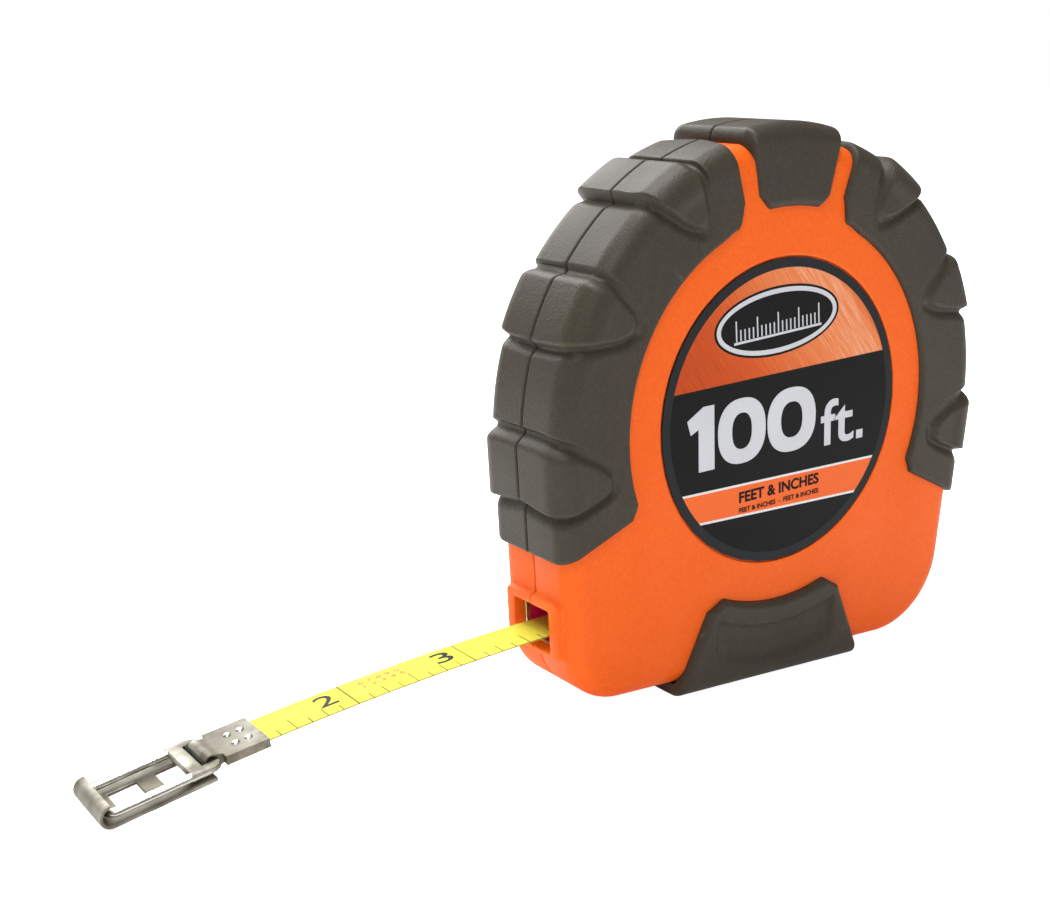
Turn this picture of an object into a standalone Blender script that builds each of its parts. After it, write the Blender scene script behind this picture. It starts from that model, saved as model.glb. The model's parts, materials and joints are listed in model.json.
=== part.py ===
"""Closed-case surveyor's steel tape, 100 ft, with a three-to-one geared rewind.

The case is two moulded half shells that meet on the plane Y = 0, with rubber grips in label-side and
crank-side halves. -X is the mouth where the blade comes out, -Y is the label side, +Y is the crank
side and +Z is up. The origin is on the flat base, straight under the drum's axis, which runs along Y.
Shapes are drawn around the drum's axis, then hung on empties that stand on the joints' axes.
"""

import math

import bmesh
import bpy
from mathutils import Matrix, Vector

MM = 0.001

# Fits
GAP = 0.3 * MM  # between pieces that touch
RUNNING = 0.15 * MM  # radial clearance of a shaft in a bore

# Case
AXIS_HEIGHT = 58.0 * MM  # drum axis above the base
CASE_RADIUS = 55.6 * MM
CASE_HALF_WIDTH = 12.2 * MM
CASE_BOTTOM = -55.5 * MM  # below the drum axis
WALL_LEAN = 4.8  # degrees that the front and rear walls lean inwards
FRONT_CORNER = 13.0 * MM
REAR_CORNER = 18.5 * MM
CASE_FILLET = 3.5 * MM
CASE_WALL = 2.0 * MM
SEAM = 0.15 * MM  # each shell stops this far from the plane Y = 0

# Label
LABEL_RADIUS = 31.9 * MM
LABEL_THICKNESS = 0.35 * MM

# Rubber
RUBBER_FACE = 0.8 * MM  # thickness on the flat sides
GRIP_INNER_RADIUS = 40.2 * MM
GRIP_VALLEY = 1.4 * MM  # outer surface above the case line between the pads
GRIP_PAD = 2.7 * MM  # outer surface above the case line on a raised pad
GRIP_FACE_PAD = 0.7 * MM  # how far a raised pad stands out on the flat side
GRIP_FILLET = 4.0 * MM
GRIP_TOP_ANGLE = 72.0  # degrees above the horizontal where a grip ends
GRIP_END_DROP = 25.5 * MM  # a grip's lower end below the drum axis
GRIP_INNER_END_ANGLE = -22.5
PAD_CENTRES = (56.5, 24.2, -8.1)
PAD_HALF_ANGLE = 6.8
TOP_PAD_HALF_ANGLE = 12.6
TOP_PAD_HEIGHT = 3.2 * MM  # outer surface above the case line
TOP_PAD_INNER_RADIUS = 41.4 * MM
BASE_PAD_HALF_ANGLE = 24.5

# Blade and coil
BLADE_WIDTH = 9.525 * MM
BLADE_THICKNESS = 0.25 * MM
COIL_RADIUS = 38.7 * MM
BLADE_DROOP = 0.79  # drop in metres for each metre of reach squared
BLADE_INNER_REACH = 1.5 * MM
FERRULE_START = 113.6 * MM  # distances forward of the drum axis
FERRULE_END = 121.6 * MM
RING_PIVOT_REACH = 124.3 * MM

# Drum
AXLE_RADIUS = 3.0 * MM
DRUM_HUB_RADIUS = 13.0 * MM
FLANGE_LIP = 2.3 * MM  # how far a flange stands out past the full coil
FLANGE_THICKNESS = 0.9 * MM
FLANGE_SIDE_CLEARANCE = 0.45 * MM

# Gears: the fixed ring, the sun on the drum, and three planets on the crank
MODULE = 0.7 * MM
SUN_TEETH = 24
PLANET_TEETH = 12
RING_TEETH = SUN_TEETH + 2 * PLANET_TEETH
PLANET_COUNT = 3
GEAR_WIDTH = 2.7 * MM
BACKLASH = 0.1 * MM
RING_GEAR_RADIUS = 20.0 * MM
RING_GEAR_RIM = 1.0 * MM  # thickness of the case's rim round the ring gear
PLANET_PIN_RADIUS = 1.2 * MM

# Crank
BOSS_WALL = 3.2 * MM
BOSS_HEIGHT = 4.6 * MM  # above the case's side
CRANK_HINGE_OFFSET = 9.0 * MM
CRANK_ARM_THICKNESS = 1.8 * MM
KNOB_RADIUS = 4.3 * MM
KNOB_PIN_HEAD = 0.5 * MM
POCKET_CLEARANCE = 0.7 * MM  # round the folded knob
POCKET_WALL = 0.6 * MM

# Mouth
MOUTH_HALF_WIDTH = 6.0 * MM
MOUTH_ABOVE = 5.97 * MM  # the opening above and below the blade
MOUTH_BELOW = 2.83 * MM
BEZEL_PROUD = 1.5 * MM
BEZEL_HALF_WIDTH = 9.0 * MM
BEZEL_BORDER = 2.1 * MM
LINER_THICKNESS = 0.5 * MM

# Hook
RING_LENGTH = 20.0 * MM  # between the two cross bars
RING_HALF_WIDTH = 5.7 * MM  # to the middle of a side bar
BAR_RADIUS = 0.75 * MM
SIDE_BAR_WIDTH = 2.3 * MM
HOOK_PLATE_THICKNESS = 0.7 * MM
HOOK_CURL_RADIUS = 2.2 * MM
HOOK_CURL_ANGLE = 190.0  # how far the plate wraps round the ring's outer bar
HOOK_HALF_WIDTH = 6.9 * MM

# Case screws, in the case's side view: forward, up
SCREW_PLACES = (
    (-36.7 * MM, 31.8 * MM),
    (36.7 * MM, 31.8 * MM),
    (0.0, 48.4 * MM),
    (-36.0 * MM, -48.5 * MM),
    (38.0 * MM, -42.0 * MM),
)
SCREW_RADIUS = 1.2 * MM
SCREW_HEAD_RADIUS = 2.7 * MM

# What follows from them, along the drum's axis
LABEL_FLOOR = CASE_HALF_WIDTH - LABEL_THICKNESS - GAP + 0.05 * MM
CASE_INSIDE = CASE_HALF_WIDTH - 2.2 * MM
FLANGE_INSIDE = BLADE_WIDTH / 2 + FLANGE_SIDE_CLEARANCE
FLANGE_OUTSIDE = FLANGE_INSIDE + FLANGE_THICKNESS
DRUM_HUB_END = FLANGE_OUTSIDE + GAP
FLOOR_LOW = FLANGE_OUTSIDE + 0.5 * MM
FLOOR_HIGH = FLOOR_LOW + 1.2 * MM
GEAR_LOW = FLOOR_HIGH + GAP
GEAR_HIGH = GEAR_LOW + GEAR_WIDTH
CARRIER_LOW = GEAR_HIGH + 0.4 * MM
CARRIER_HIGH = CARRIER_LOW + 1.2 * MM
CRANK_HUB_LOW = CARRIER_HIGH + GAP
BOSS_TOP = CASE_HALF_WIDTH + BOSS_HEIGHT
DISC_HIGH = BOSS_TOP - GAP
DISC_LOW = DISC_HIGH - 1.8 * MM
AXLE_BORE_RADIUS = AXLE_RADIUS + RUNNING
WAVE_WASHER = 0.5 * MM
LABEL_BOSS_END = DRUM_HUB_END + WAVE_WASHER + 2 * GAP
HINGE_DEPTH = DISC_HIGH + 2.2 * MM
ARM_LOW = DISC_HIGH + 0.4 * MM
POCKET_FLOOR = FLOOR_HIGH + 0.5 * MM
KNOB_HIGH = ARM_LOW - GAP
KNOB_LOW = POCKET_FLOOR + POCKET_WALL + 0.49 * MM + KNOB_PIN_HEAD + GAP
POCKET_RADIUS = KNOB_RADIUS + POCKET_CLEARANCE
RIM_RADIUS = RING_GEAR_RADIUS + GAP + RING_GEAR_RIM
KNOB_PLACE = -(RIM_RADIUS + POCKET_WALL + POCKET_RADIUS + 0.4 * MM)
RECESS_RADIUS = -KNOB_PLACE + POCKET_RADIUS + POCKET_WALL + 1.1 * MM
BOSS_RADIUS = RECESS_RADIUS + BOSS_WALL
FLANGE_RADIUS = COIL_RADIUS + FLANGE_LIP
BLADE_START_HEIGHT = -(COIL_RADIUS + GAP + BLADE_THICKNESS / 2)
BLADE_AT_MOUTH = BLADE_START_HEIGHT - BLADE_DROOP * CASE_RADIUS * CASE_RADIUS
MOUTH_TOP = BLADE_AT_MOUTH + MOUTH_ABOVE
MOUTH_BOTTOM = BLADE_AT_MOUTH - MOUTH_BELOW
CENTRE_DISTANCE = MODULE * (SUN_TEETH + PLANET_TEETH) / 2
SIDE_SHELL_INSET = CASE_WALL + 1.5 * MM

COLOURS = {
    "case_plastic": ((0.83, 0.14, 0.025), 0.5, 0.0),
    "grip_rubber": ((0.13, 0.12, 0.10), 0.75, 0.0),
    "label_print": ((0.03, 0.03, 0.035), 0.35, 0.0),
    "blade_yellow": ((0.88, 0.84, 0.10), 0.4, 0.0),
    "hook_nickel": ((0.52, 0.50, 0.45), 0.35, 1.0),
    "steel": ((0.55, 0.55, 0.56), 0.35, 1.0),
    "gear_nylon": ((0.75, 0.73, 0.66), 0.5, 0.0),
    "drum_plastic": ((0.30, 0.02, 0.06), 0.5, 0.0),
    "bronze": ((0.45, 0.29, 0.12), 0.4, 1.0),
    "crank_plastic": ((0.045, 0.045, 0.05), 0.5, 0.0),
}


def material(name):
    """The Principled material of one of the finishes in COLOURS."""
    found = bpy.data.materials.get(name)
    if found:
        return found
    colour, roughness, metallic = COLOURS[name]
    made = bpy.data.materials.new(name)
    made.use_nodes = True
    shader = made.node_tree.nodes["Principled BSDF"]
    shader.inputs["Base Color"].default_value = (*colour, 1.0)
    shader.inputs["Roughness"].default_value = roughness
    shader.inputs["Metallic"].default_value = metallic
    made.diffuse_color = (*colour, 1.0)
    return made


def axis_empty(name, place, parent=None):
    """An empty standing on a joint's axis; place is measured from the drum's axis."""
    empty = bpy.data.objects.new(name, None)
    empty.empty_display_size = 5 * MM
    bpy.context.scene.collection.objects.link(empty)
    empty.parent = parent
    empty.location = Vector(place)
    if parent:
        empty.location -= Vector(parent["place"])
    else:
        empty.location += Vector((0, 0, AXIS_HEIGHT))
    empty["place"] = list(place)
    return empty


def finished(name, bm, finish, body):
    """A closed mesh, drawn around the drum's axis, made into an object that hangs on a body's empty."""
    bmesh.ops.remove_doubles(bm, verts=bm.verts, dist=0.0005 * MM)
    bmesh.ops.recalc_face_normals(bm, faces=bm.faces)
    bmesh.ops.translate(bm, verts=bm.verts, vec=-Vector(body["place"]))
    mesh = bpy.data.meshes.new(name)
    bm.to_mesh(mesh)
    bm.free()
    mesh.materials.append(material(finish))
    mesh.shade_smooth()
    mesh.set_sharp_from_angle(angle=math.radians(32))
    obj = bpy.data.objects.new(name, mesh)
    bpy.context.scene.collection.objects.link(obj)
    obj.parent = body
    return obj


def add_loft(bm, rings, loop=False):
    """Skins a row of rings; a ring of one point closes that end, and loop joins last to first."""
    made = [[bm.verts.new(p) for p in ring] for ring in rings]
    pairs = list(zip(made, made[1:]))
    if loop:
        pairs.append((made[-1], made[0]))
    for low, high in pairs:
        count = max(len(low), len(high))
        if len(low) == 1 and len(high) == 1:
            continue
        for i in range(count):
            j = (i + 1) % count
            if len(low) == 1:
                bm.faces.new((low[0], high[j], high[i]))
            elif len(high) == 1:
                bm.faces.new((low[i], low[j], high[0]))
            else:
                bm.faces.new((low[i], low[j], high[j], high[i]))
    return made


def circle(radius, y, count, centre=(0.0, 0.0)):
    """A ring of points around an axis along Y; radius 0 gives one point."""
    if radius == 0:
        return [Vector((centre[0], y, centre[1]))]
    turn = 2 * math.pi / count
    return [
        Vector((centre[0] + radius * math.cos(i * turn), y, centre[1] + radius * math.sin(i * turn)))
        for i in range(count)
    ]


def add_turned(bm, profile, count=48, centre=(0.0, 0.0)):
    """A turned solid: profile is a closed line of (radius, y), or one from axis to axis."""
    rings = [circle(radius, y, count, centre) for radius, y in profile]
    add_loft(bm, rings, loop=profile[0][0] > 0)


def turned(name, profile, finish, body, count=40, centre=(0.0, 0.0)):
    bm = bmesh.new()
    add_turned(bm, profile, count, centre)
    return finished(name, bm, finish, body)


def tube_profile(inner, outer, low, high):
    return [(inner, low), (outer, low), (outer, high), (inner, high)]


def rod_profile(radius, low, high):
    return [(0, low), (radius, low), (radius, high), (0, high)]


def add_prism(bm, outline, direction, low, high):
    """An outline given as 3-D points on a plane, swept along direction from low to high."""
    along = Vector(direction)
    start = [bm.verts.new(Vector(p) + along * low) for p in outline]
    end = [bm.verts.new(Vector(p) + along * high) for p in outline]
    count = len(outline)
    bm.faces.new(start)
    bm.faces.new(list(reversed(end)))
    for i in range(count):
        j = (i + 1) % count
        bm.faces.new((start[i], end[i], end[j], start[j]))


def add_box(bm, low, high):
    corners = [(low[0], 0, low[2]), (high[0], 0, low[2]), (high[0], 0, high[2]), (low[0], 0, high[2])]
    add_prism(bm, corners, (0, 1, 0), low[1], high[1])


def boolean(target, name, bm, operation):
    """Adds or cuts a helper solid; the helper itself is only a guide."""
    bmesh.ops.recalc_face_normals(bm, faces=bm.faces)
    mesh = bpy.data.meshes.new(name)
    bmesh.ops.translate(bm, verts=bm.verts, vec=-Vector(target.parent["place"]))
    bm.to_mesh(mesh)
    bm.free()
    helper = bpy.data.objects.new(name, mesh)
    bpy.context.scene.collection.objects.link(helper)
    helper.parent = target.parent
    helper.hide_render = True
    helper.display_type = "WIRE"
    modifier = target.modifiers.new(name, "BOOLEAN")
    modifier.operation = operation
    modifier.solver = "EXACT"
    modifier.object = helper


# ---------------------------------------------------------------- the case line in side view


def arc(centre, radius, start, end, count):
    """Points from start to end degrees, as (x, z)."""
    points = []
    for i in range(count + 1):
        angle = math.radians(start + (end - start) * i / count)
        points.append((centre[0] + radius * math.cos(angle), centre[1] + radius * math.sin(angle)))
    return points


def line_between(first, last, count):
    """The points strictly between two points."""
    return [
        (first[0] + (last[0] - first[0]) * i / count, first[1] + (last[1] - first[1]) * i / count)
        for i in range(1, count)
    ]


def corner_centre(radius, forward):
    """Centre of a lower corner that is tangent to the base line and to a leaning end wall."""
    height = CASE_BOTTOM + radius
    lean = math.radians(WALL_LEAN)
    reach = (CASE_RADIUS - radius + height * math.sin(lean)) / math.cos(lean)
    return (-reach if forward else reach, height)


def case_line(offset=0.0):
    """The case's side outline moved out by offset: a round top, leaning end walls and a flat base."""
    front = corner_centre(FRONT_CORNER, True)
    rear = corner_centre(REAR_CORNER, False)
    top = arc((0, 0), CASE_RADIUS + offset, -WALL_LEAN, 180 + WALL_LEAN, 28)
    front_arc = arc(front, FRONT_CORNER + offset, 180 + WALL_LEAN, 270, 5)
    rear_arc = arc(rear, REAR_CORNER + offset, 270, 360 - WALL_LEAN, 5)
    points = top + line_between(top[-1], front_arc[0], 4)
    points += front_arc + line_between(front_arc[-1], rear_arc[0], 6)
    points += rear_arc + line_between(rear_arc[-1], top[0], 4)
    return points


LINE_ANGLES = [math.atan2(z, x) for x, z in case_line()]


def line_ring(offset, y):
    return [Vector((x, y, z)) for x, z in case_line(offset)]


def round_ring(radius, y):
    """A circle whose points face those of the case line."""
    return [Vector((radius * math.cos(a), y, radius * math.sin(a))) for a in LINE_ANGLES]


def rounded_edge(offset, fillet, face, side, steps=2):
    """Rings that turn from the case's edge on to its flat side."""
    rings = []
    for i in range(steps + 1):
        angle = math.pi / 2 * i / steps
        inset = fillet * (1 - math.cos(angle))
        rings.append(line_ring(offset - inset, side * (face - fillet + fillet * math.sin(angle))))
    return rings


def front_wall_x(z):
    """Where the front wall stands at height z."""
    lean = math.radians(WALL_LEAN)
    return -(CASE_RADIUS + z * math.sin(lean)) / math.cos(lean)


# ---------------------------------------------------------------- case shells


def shell_inside(side, face_inset):
    """The rings of the hollow, from the flat side back to the seam."""
    return [
        line_ring(-SIDE_SHELL_INSET, side * face_inset),
        line_ring(-CASE_WALL, side * (face_inset - 1.5 * MM)),
        line_ring(-CASE_WALL, side * SEAM),
    ]


def label_side_shell(body):
    rings = [line_ring(0, -SEAM)] + rounded_edge(0, CASE_FILLET, CASE_HALF_WIDTH, -1)
    rings.append(round_ring(LABEL_RADIUS + GAP, -CASE_HALF_WIDTH))
    rings.append(round_ring(LABEL_RADIUS + GAP, -LABEL_FLOOR))
    rings.append([Vector((0, -LABEL_FLOOR, 0))])
    axle_hole = AXLE_RADIUS + GAP
    inner = [[Vector((0, -LABEL_FLOOR + 0.6 * MM, 0))]]
    inner.append(round_ring(axle_hole, -LABEL_FLOOR + 0.6 * MM))
    inner.append(round_ring(axle_hole, -LABEL_BOSS_END))
    inner.append(round_ring(axle_hole + 2.2 * MM, -LABEL_BOSS_END))
    inner.append(round_ring(axle_hole + 2.2 * MM, -CASE_INSIDE))
    inner += shell_inside(-1, CASE_INSIDE)
    bm = bmesh.new()
    add_loft(bm, rings + inner, loop=True)
    shell = finished("label_side_shell", bm, "case_plastic", body)
    dress_shell(shell, -1)
    return shell


def crank_side_shell(body):
    seat = RING_GEAR_RADIUS + GAP
    ledge = RING_GEAR_RADIUS - 1.6 * MM
    tub = RECESS_RADIUS + 1.8 * MM
    rings = [line_ring(0, SEAM)] + rounded_edge(0, CASE_FILLET, CASE_HALF_WIDTH, 1)
    rings.append(round_ring(BOSS_RADIUS + 1.2 * MM, CASE_HALF_WIDTH))
    rings.append(round_ring(BOSS_RADIUS, CASE_HALF_WIDTH + 1.2 * MM))
    rings.append(round_ring(BOSS_RADIUS, BOSS_TOP - 0.6 * MM))
    rings.append(round_ring(BOSS_RADIUS - 0.6 * MM, BOSS_TOP))
    rings.append(round_ring(RECESS_RADIUS, BOSS_TOP))
    rings.append(round_ring(RECESS_RADIUS, FLOOR_HIGH))
    rings.append(round_ring(RIM_RADIUS, FLOOR_HIGH))
    rings.append(round_ring(RIM_RADIUS, GEAR_HIGH - GAP))
    rings.append(round_ring(seat, GEAR_HIGH - GAP))
    rings.append(round_ring(seat, FLOOR_HIGH))
    rings.append(round_ring(ledge, FLOOR_HIGH))
    rings.append(round_ring(ledge, FLOOR_LOW))
    rings.append(round_ring(tub, FLOOR_LOW))
    rings.append(round_ring(tub, CASE_INSIDE))
    rings += shell_inside(1, CASE_INSIDE)
    bm = bmesh.new()
    add_loft(bm, rings, loop=True)
    shell = finished("crank_side_shell", bm, "case_plastic", body)
    dress_shell(shell, 1)
    return shell


def dress_shell(shell, side):
    """Adds the mouth's bezel and the screw bosses, then cuts the mouth and the screw holes."""
    label_side = side < 0
    boss = SCREW_RADIUS + 1.7 * MM if label_side else SCREW_HEAD_RADIUS + GAP + 0.9 * MM
    bm = bmesh.new()
    front = front_wall_x(MOUTH_TOP) - BEZEL_PROUD
    ends = sorted((side * SEAM, side * BEZEL_HALF_WIDTH))
    low = (front, ends[0], MOUTH_BOTTOM - 0.9 * MM)
    high = (front_wall_x(MOUTH_BOTTOM) + 1.4 * MM, ends[1], MOUTH_TOP + BEZEL_BORDER)
    add_box(bm, low, high)
    for place in SCREW_PLACES:
        reach = sorted((side * SEAM, side * (CASE_INSIDE + 0.5 * MM)))
        add_turned(bm, rod_profile(boss, reach[0], reach[1]), 20, place)
    boolean(shell, shell.name + "_adds", bm, "UNION")
    bm = bmesh.new()
    mouth_low = (front - 5 * MM, -MOUTH_HALF_WIDTH, MOUTH_BOTTOM)
    mouth_high = (front_wall_x(MOUTH_BOTTOM) + 8 * MM, MOUTH_HALF_WIDTH, MOUTH_TOP)
    add_box(bm, mouth_low, mouth_high)
    for place in SCREW_PLACES:
        hole = SCREW_RADIUS + GAP
        if label_side:
            add_turned(bm, rod_profile(hole, -CASE_INSIDE + 1.5 * MM, 1 * MM), 20, place)
        else:
            head = SCREW_HEAD_RADIUS + GAP
            seat = CASE_INSIDE - 1.6 * MM
            top = CASE_HALF_WIDTH + 1 * MM
            stepped = [(0, -1 * MM), (hole, -1 * MM), (hole, seat), (head, seat), (head, top), (0, top)]
            add_turned(bm, stepped, 20, place)
    boolean(shell, shell.name + "_cuts", bm, "DIFFERENCE")


# ---------------------------------------------------------------- rubber


def polar(radius, degrees):
    """A point in side view, degrees measured up from the front horizontal."""
    angle = math.radians(degrees)
    return Vector((-radius * math.cos(angle), radius * math.sin(angle)))


def edge_point(degrees, offset):
    """Where a ray from the drum's axis meets the case line moved out by offset, front half."""
    radius = CASE_RADIUS + offset
    if degrees >= -WALL_LEAN:
        return polar(radius, degrees)
    lean = math.radians(WALL_LEAN)
    return polar(radius / math.cos(math.radians(-degrees) - lean), degrees)


def pad_height(degrees):
    """The grip's outer surface above the case line: raised pads with a narrow groove at each side."""
    away = min(abs(degrees - centre) for centre in PAD_CENTRES)
    if away < PAD_HALF_ANGLE - 0.4:
        return GRIP_PAD
    if away < PAD_HALF_ANGLE + 0.4:
        return GRIP_VALLEY + 0.1 * MM
    if away < PAD_HALF_ANGLE + 1.6:
        return GRIP_VALLEY - 0.5 * MM
    return GRIP_VALLEY


def grip_stations():
    """Degrees at which the front grip's section is drawn, close together at each pad's edges."""
    end = -math.degrees(math.atan2(GRIP_END_DROP, -front_wall_x(-GRIP_END_DROP)))
    marks = [GRIP_TOP_ANGLE, end]
    for centre in PAD_CENTRES:
        marks.append(centre)
        for step in (0.5, 0.39, -0.9, -2.0):
            for sign in (-1, 1):
                marks.append(centre + sign * (PAD_HALF_ANGLE - step))
        marks += [centre - PAD_HALF_ANGLE - 5.5, centre + PAD_HALF_ANGLE + 5.5]
    return sorted((m for m in marks if end <= m <= GRIP_TOP_ANGLE), reverse=True)


def section(outer, inner_edge, height, bulge, side):
    """One cross-section of a rubber piece that wraps the case's edge.

    outer(offset) gives the point of the edge, inner_edge the piece's end on the flat side.
    """
    face = CASE_HALF_WIDTH + GAP + RUBBER_FACE
    under = CASE_HALF_WIDTH + GAP
    ring = [(outer(GAP), SEAM), (outer(height), SEAM)]
    top = face + bulge
    for i in range(3):
        angle = math.pi / 4 * i
        offset = height - GRIP_FILLET * (1 - math.cos(angle))
        ring.append((outer(offset), top - GRIP_FILLET + GRIP_FILLET * math.sin(angle)))
    shoulder = outer(height - GRIP_FILLET)
    ring.append((shoulder.lerp(inner_edge, 0.55), top))
    ring.append((shoulder.lerp(inner_edge, 0.68), face))
    ring.append((inner_edge, face))
    ring.append((inner_edge, under))
    for i in range(3):
        angle = math.pi / 4 * (2 - i)
        offset = GAP - CASE_FILLET * (1 - math.cos(angle))
        ring.append((outer(offset), under - CASE_FILLET + CASE_FILLET * math.sin(angle)))
    return [Vector((p.x, side * y, p.y)) for p, y in ring]


def add_wrap(bm, sections):
    """Skins the sections of a rubber piece and closes its two ends."""
    made = [[bm.verts.new(p) for p in ring] for ring in sections]
    count = len(made[0])
    for low, high in zip(made, made[1:]):
        for i in range(count):
            j = (i + 1) % count
            bm.faces.new((low[i], low[j], high[j], high[i]))
    bm.faces.new(list(reversed(made[0])))
    bm.faces.new(made[-1])


def grip(name, front, side, body):
    """Half of the front or rear grip; the rear grip is the front one seen in a mirror."""
    stations = grip_stations()
    spread = (GRIP_TOP_ANGLE - GRIP_INNER_END_ANGLE) / (stations[0] - stations[-1])
    sections = []
    for degrees in stations:
        inner_angle = GRIP_TOP_ANGLE - (stations[0] - degrees) * spread
        height = pad_height(degrees)
        bulge = GRIP_FACE_PAD if height == GRIP_PAD else 0.0
        outline = section(
            lambda offset: edge_point(degrees, offset),
            polar(GRIP_INNER_RADIUS, inner_angle),
            height,
            bulge,
            side,
        )
        if not front:
            outline = [Vector((-p.x, p.y, p.z)) for p in outline]
        sections.append(outline)
    bm = bmesh.new()
    add_wrap(bm, sections)
    piece = finished(name, bm, "grip_rubber", body)
    if side > 0:
        place = SCREW_PLACES[0] if front else SCREW_PLACES[1]
        screw_access(piece, place)
    return piece


def screw_access(piece, place):
    """A hole through the rubber for the screwdriver."""
    bm = bmesh.new()
    reach = CASE_HALF_WIDTH + 4 * MM
    add_turned(bm, rod_profile(SCREW_HEAD_RADIUS + 0.5 * MM, CASE_HALF_WIDTH - 2 * MM, reach), 20, place)
    boolean(piece, piece.name + "_access", bm, "DIFFERENCE")


def top_pad(name, side, body):
    sections = []
    steps = 8
    for i in range(steps + 1):
        share = -1 + 2 * i / steps
        degrees = 90 + TOP_PAD_HALF_ANGLE * share
        height = TOP_PAD_HEIGHT - 0.8 * MM * share**8
        inner = TOP_PAD_INNER_RADIUS + 1.6 * MM * share**8
        sections.append(
            section(lambda offset: edge_point(degrees, offset), polar(inner, degrees), height, 0.2 * MM, side)
        )
    bm = bmesh.new()
    add_wrap(bm, sections)
    piece = finished(name, bm, "grip_rubber", body)
    if side > 0:
        screw_access(piece, SCREW_PLACES[2])
    return piece


def base_pad(body):
    """One foot that wraps under the case: a flat sole, two sloping ends and a round upper edge."""
    upper = [polar(GRIP_INNER_RADIUS, -90 + BASE_PAD_HALF_ANGLE * (2 * i / 10 - 1)) for i in range(11)]
    slope = math.tan(math.radians(BASE_PAD_HALF_ANGLE))
    foot = 2.0 * MM
    outline = [Vector((p.x, 0, p.y)) for p in upper]
    for sign in (-1, 1):
        wide = [
            (AXIS_HEIGHT - foot, slope * (AXIS_HEIGHT - foot)),
            (AXIS_HEIGHT - foot * 0.3, slope * AXIS_HEIGHT - foot * 0.3),
            (AXIS_HEIGHT, slope * AXIS_HEIGHT - foot),
        ]
        corner = [Vector((sign * x, 0, -z)) for z, x in wide]
        outline += corner if sign < 0 else list(reversed(corner))
    face = CASE_HALF_WIDTH + GAP + RUBBER_FACE
    bevel = 0.8 * MM
    middle = Vector((0, 0, -(AXIS_HEIGHT + GRIP_INNER_RADIUS) / 2))
    shrink = 1 - 2 * bevel / (AXIS_HEIGHT - GRIP_INNER_RADIUS)
    rings = []
    for y, scale in ((-face, shrink), (bevel - face, 1.0), (face - bevel, 1.0), (face, shrink)):
        rings.append([middle + (p - middle) * scale + Vector((0, y, 0)) for p in outline])
    bm = bmesh.new()
    add_wrap(bm, rings)
    piece = finished("base_pad", bm, "grip_rubber", body)
    bm = bmesh.new()
    outer = CASE_HALF_WIDTH + GAP
    rings = rounded_edge(GAP, CASE_FILLET, outer, -1)
    rings.reverse()
    rings += rounded_edge(GAP, CASE_FILLET, outer, 1)
    rings.insert(0, [Vector((0, -outer, 0))])
    rings.append([Vector((0, outer, 0))])
    add_loft(bm, rings)
    boolean(piece, "base_pad_case", bm, "DIFFERENCE")
    return piece


# ---------------------------------------------------------------- blade and hook


def blade_height(reach):
    """Height of the blade's middle, from the drum's axis, at a distance forward of it."""
    return BLADE_START_HEIGHT - BLADE_DROOP * reach * reach


def pitch_at(reach):
    """How steeply the blade falls there, in radians."""
    return math.atan(2 * BLADE_DROOP * reach)


def tape_blade(body):
    end = FERRULE_END - 1 * MM
    steps = 26
    sections = []
    for i in range(steps + 1):
        reach = BLADE_INNER_REACH + (end - BLADE_INNER_REACH) * i / steps
        pitch = pitch_at(reach)
        up = Vector((math.sin(pitch) * -1, 0, math.cos(pitch))) * (BLADE_THICKNESS / 2)
        middle = Vector((-reach, 0, blade_height(reach)))
        half = Vector((0, BLADE_WIDTH / 2, 0))
        sections.append([middle - half - up, middle + half - up, middle + half + up, middle - half + up])
    bm = bmesh.new()
    add_wrap(bm, sections)
    return finished("tape_blade", bm, "blade_yellow", body)


def hook_frame(pivot, pitch):
    """Turns (along, across, up) of a piece of the hook into a point around the drum's axis."""
    forward = Vector((-math.cos(pitch), 0, -math.sin(pitch)))
    upward = Vector((-math.sin(pitch), 0, math.cos(pitch)))

    def place(along, across, up):
        return pivot + forward * along + Vector((0, across, 0)) + upward * up

    return place


RING_PIVOT = Vector((-RING_PIVOT_REACH, 0, blade_height(RING_PIVOT_REACH)))
RING_PITCH = pitch_at(RING_PIVOT_REACH + RING_LENGTH / 2)
EYE_RADIUS = BAR_RADIUS + GAP + 0.45 * MM
FERRULE_PITCH = pitch_at((FERRULE_START + FERRULE_END) / 2)
ferrule_place = hook_frame(RING_PIVOT, FERRULE_PITCH)
ring_place = hook_frame(RING_PIVOT, RING_PITCH)
HOOK_PIVOT = ring_place(RING_LENGTH, 0, 0)


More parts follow.
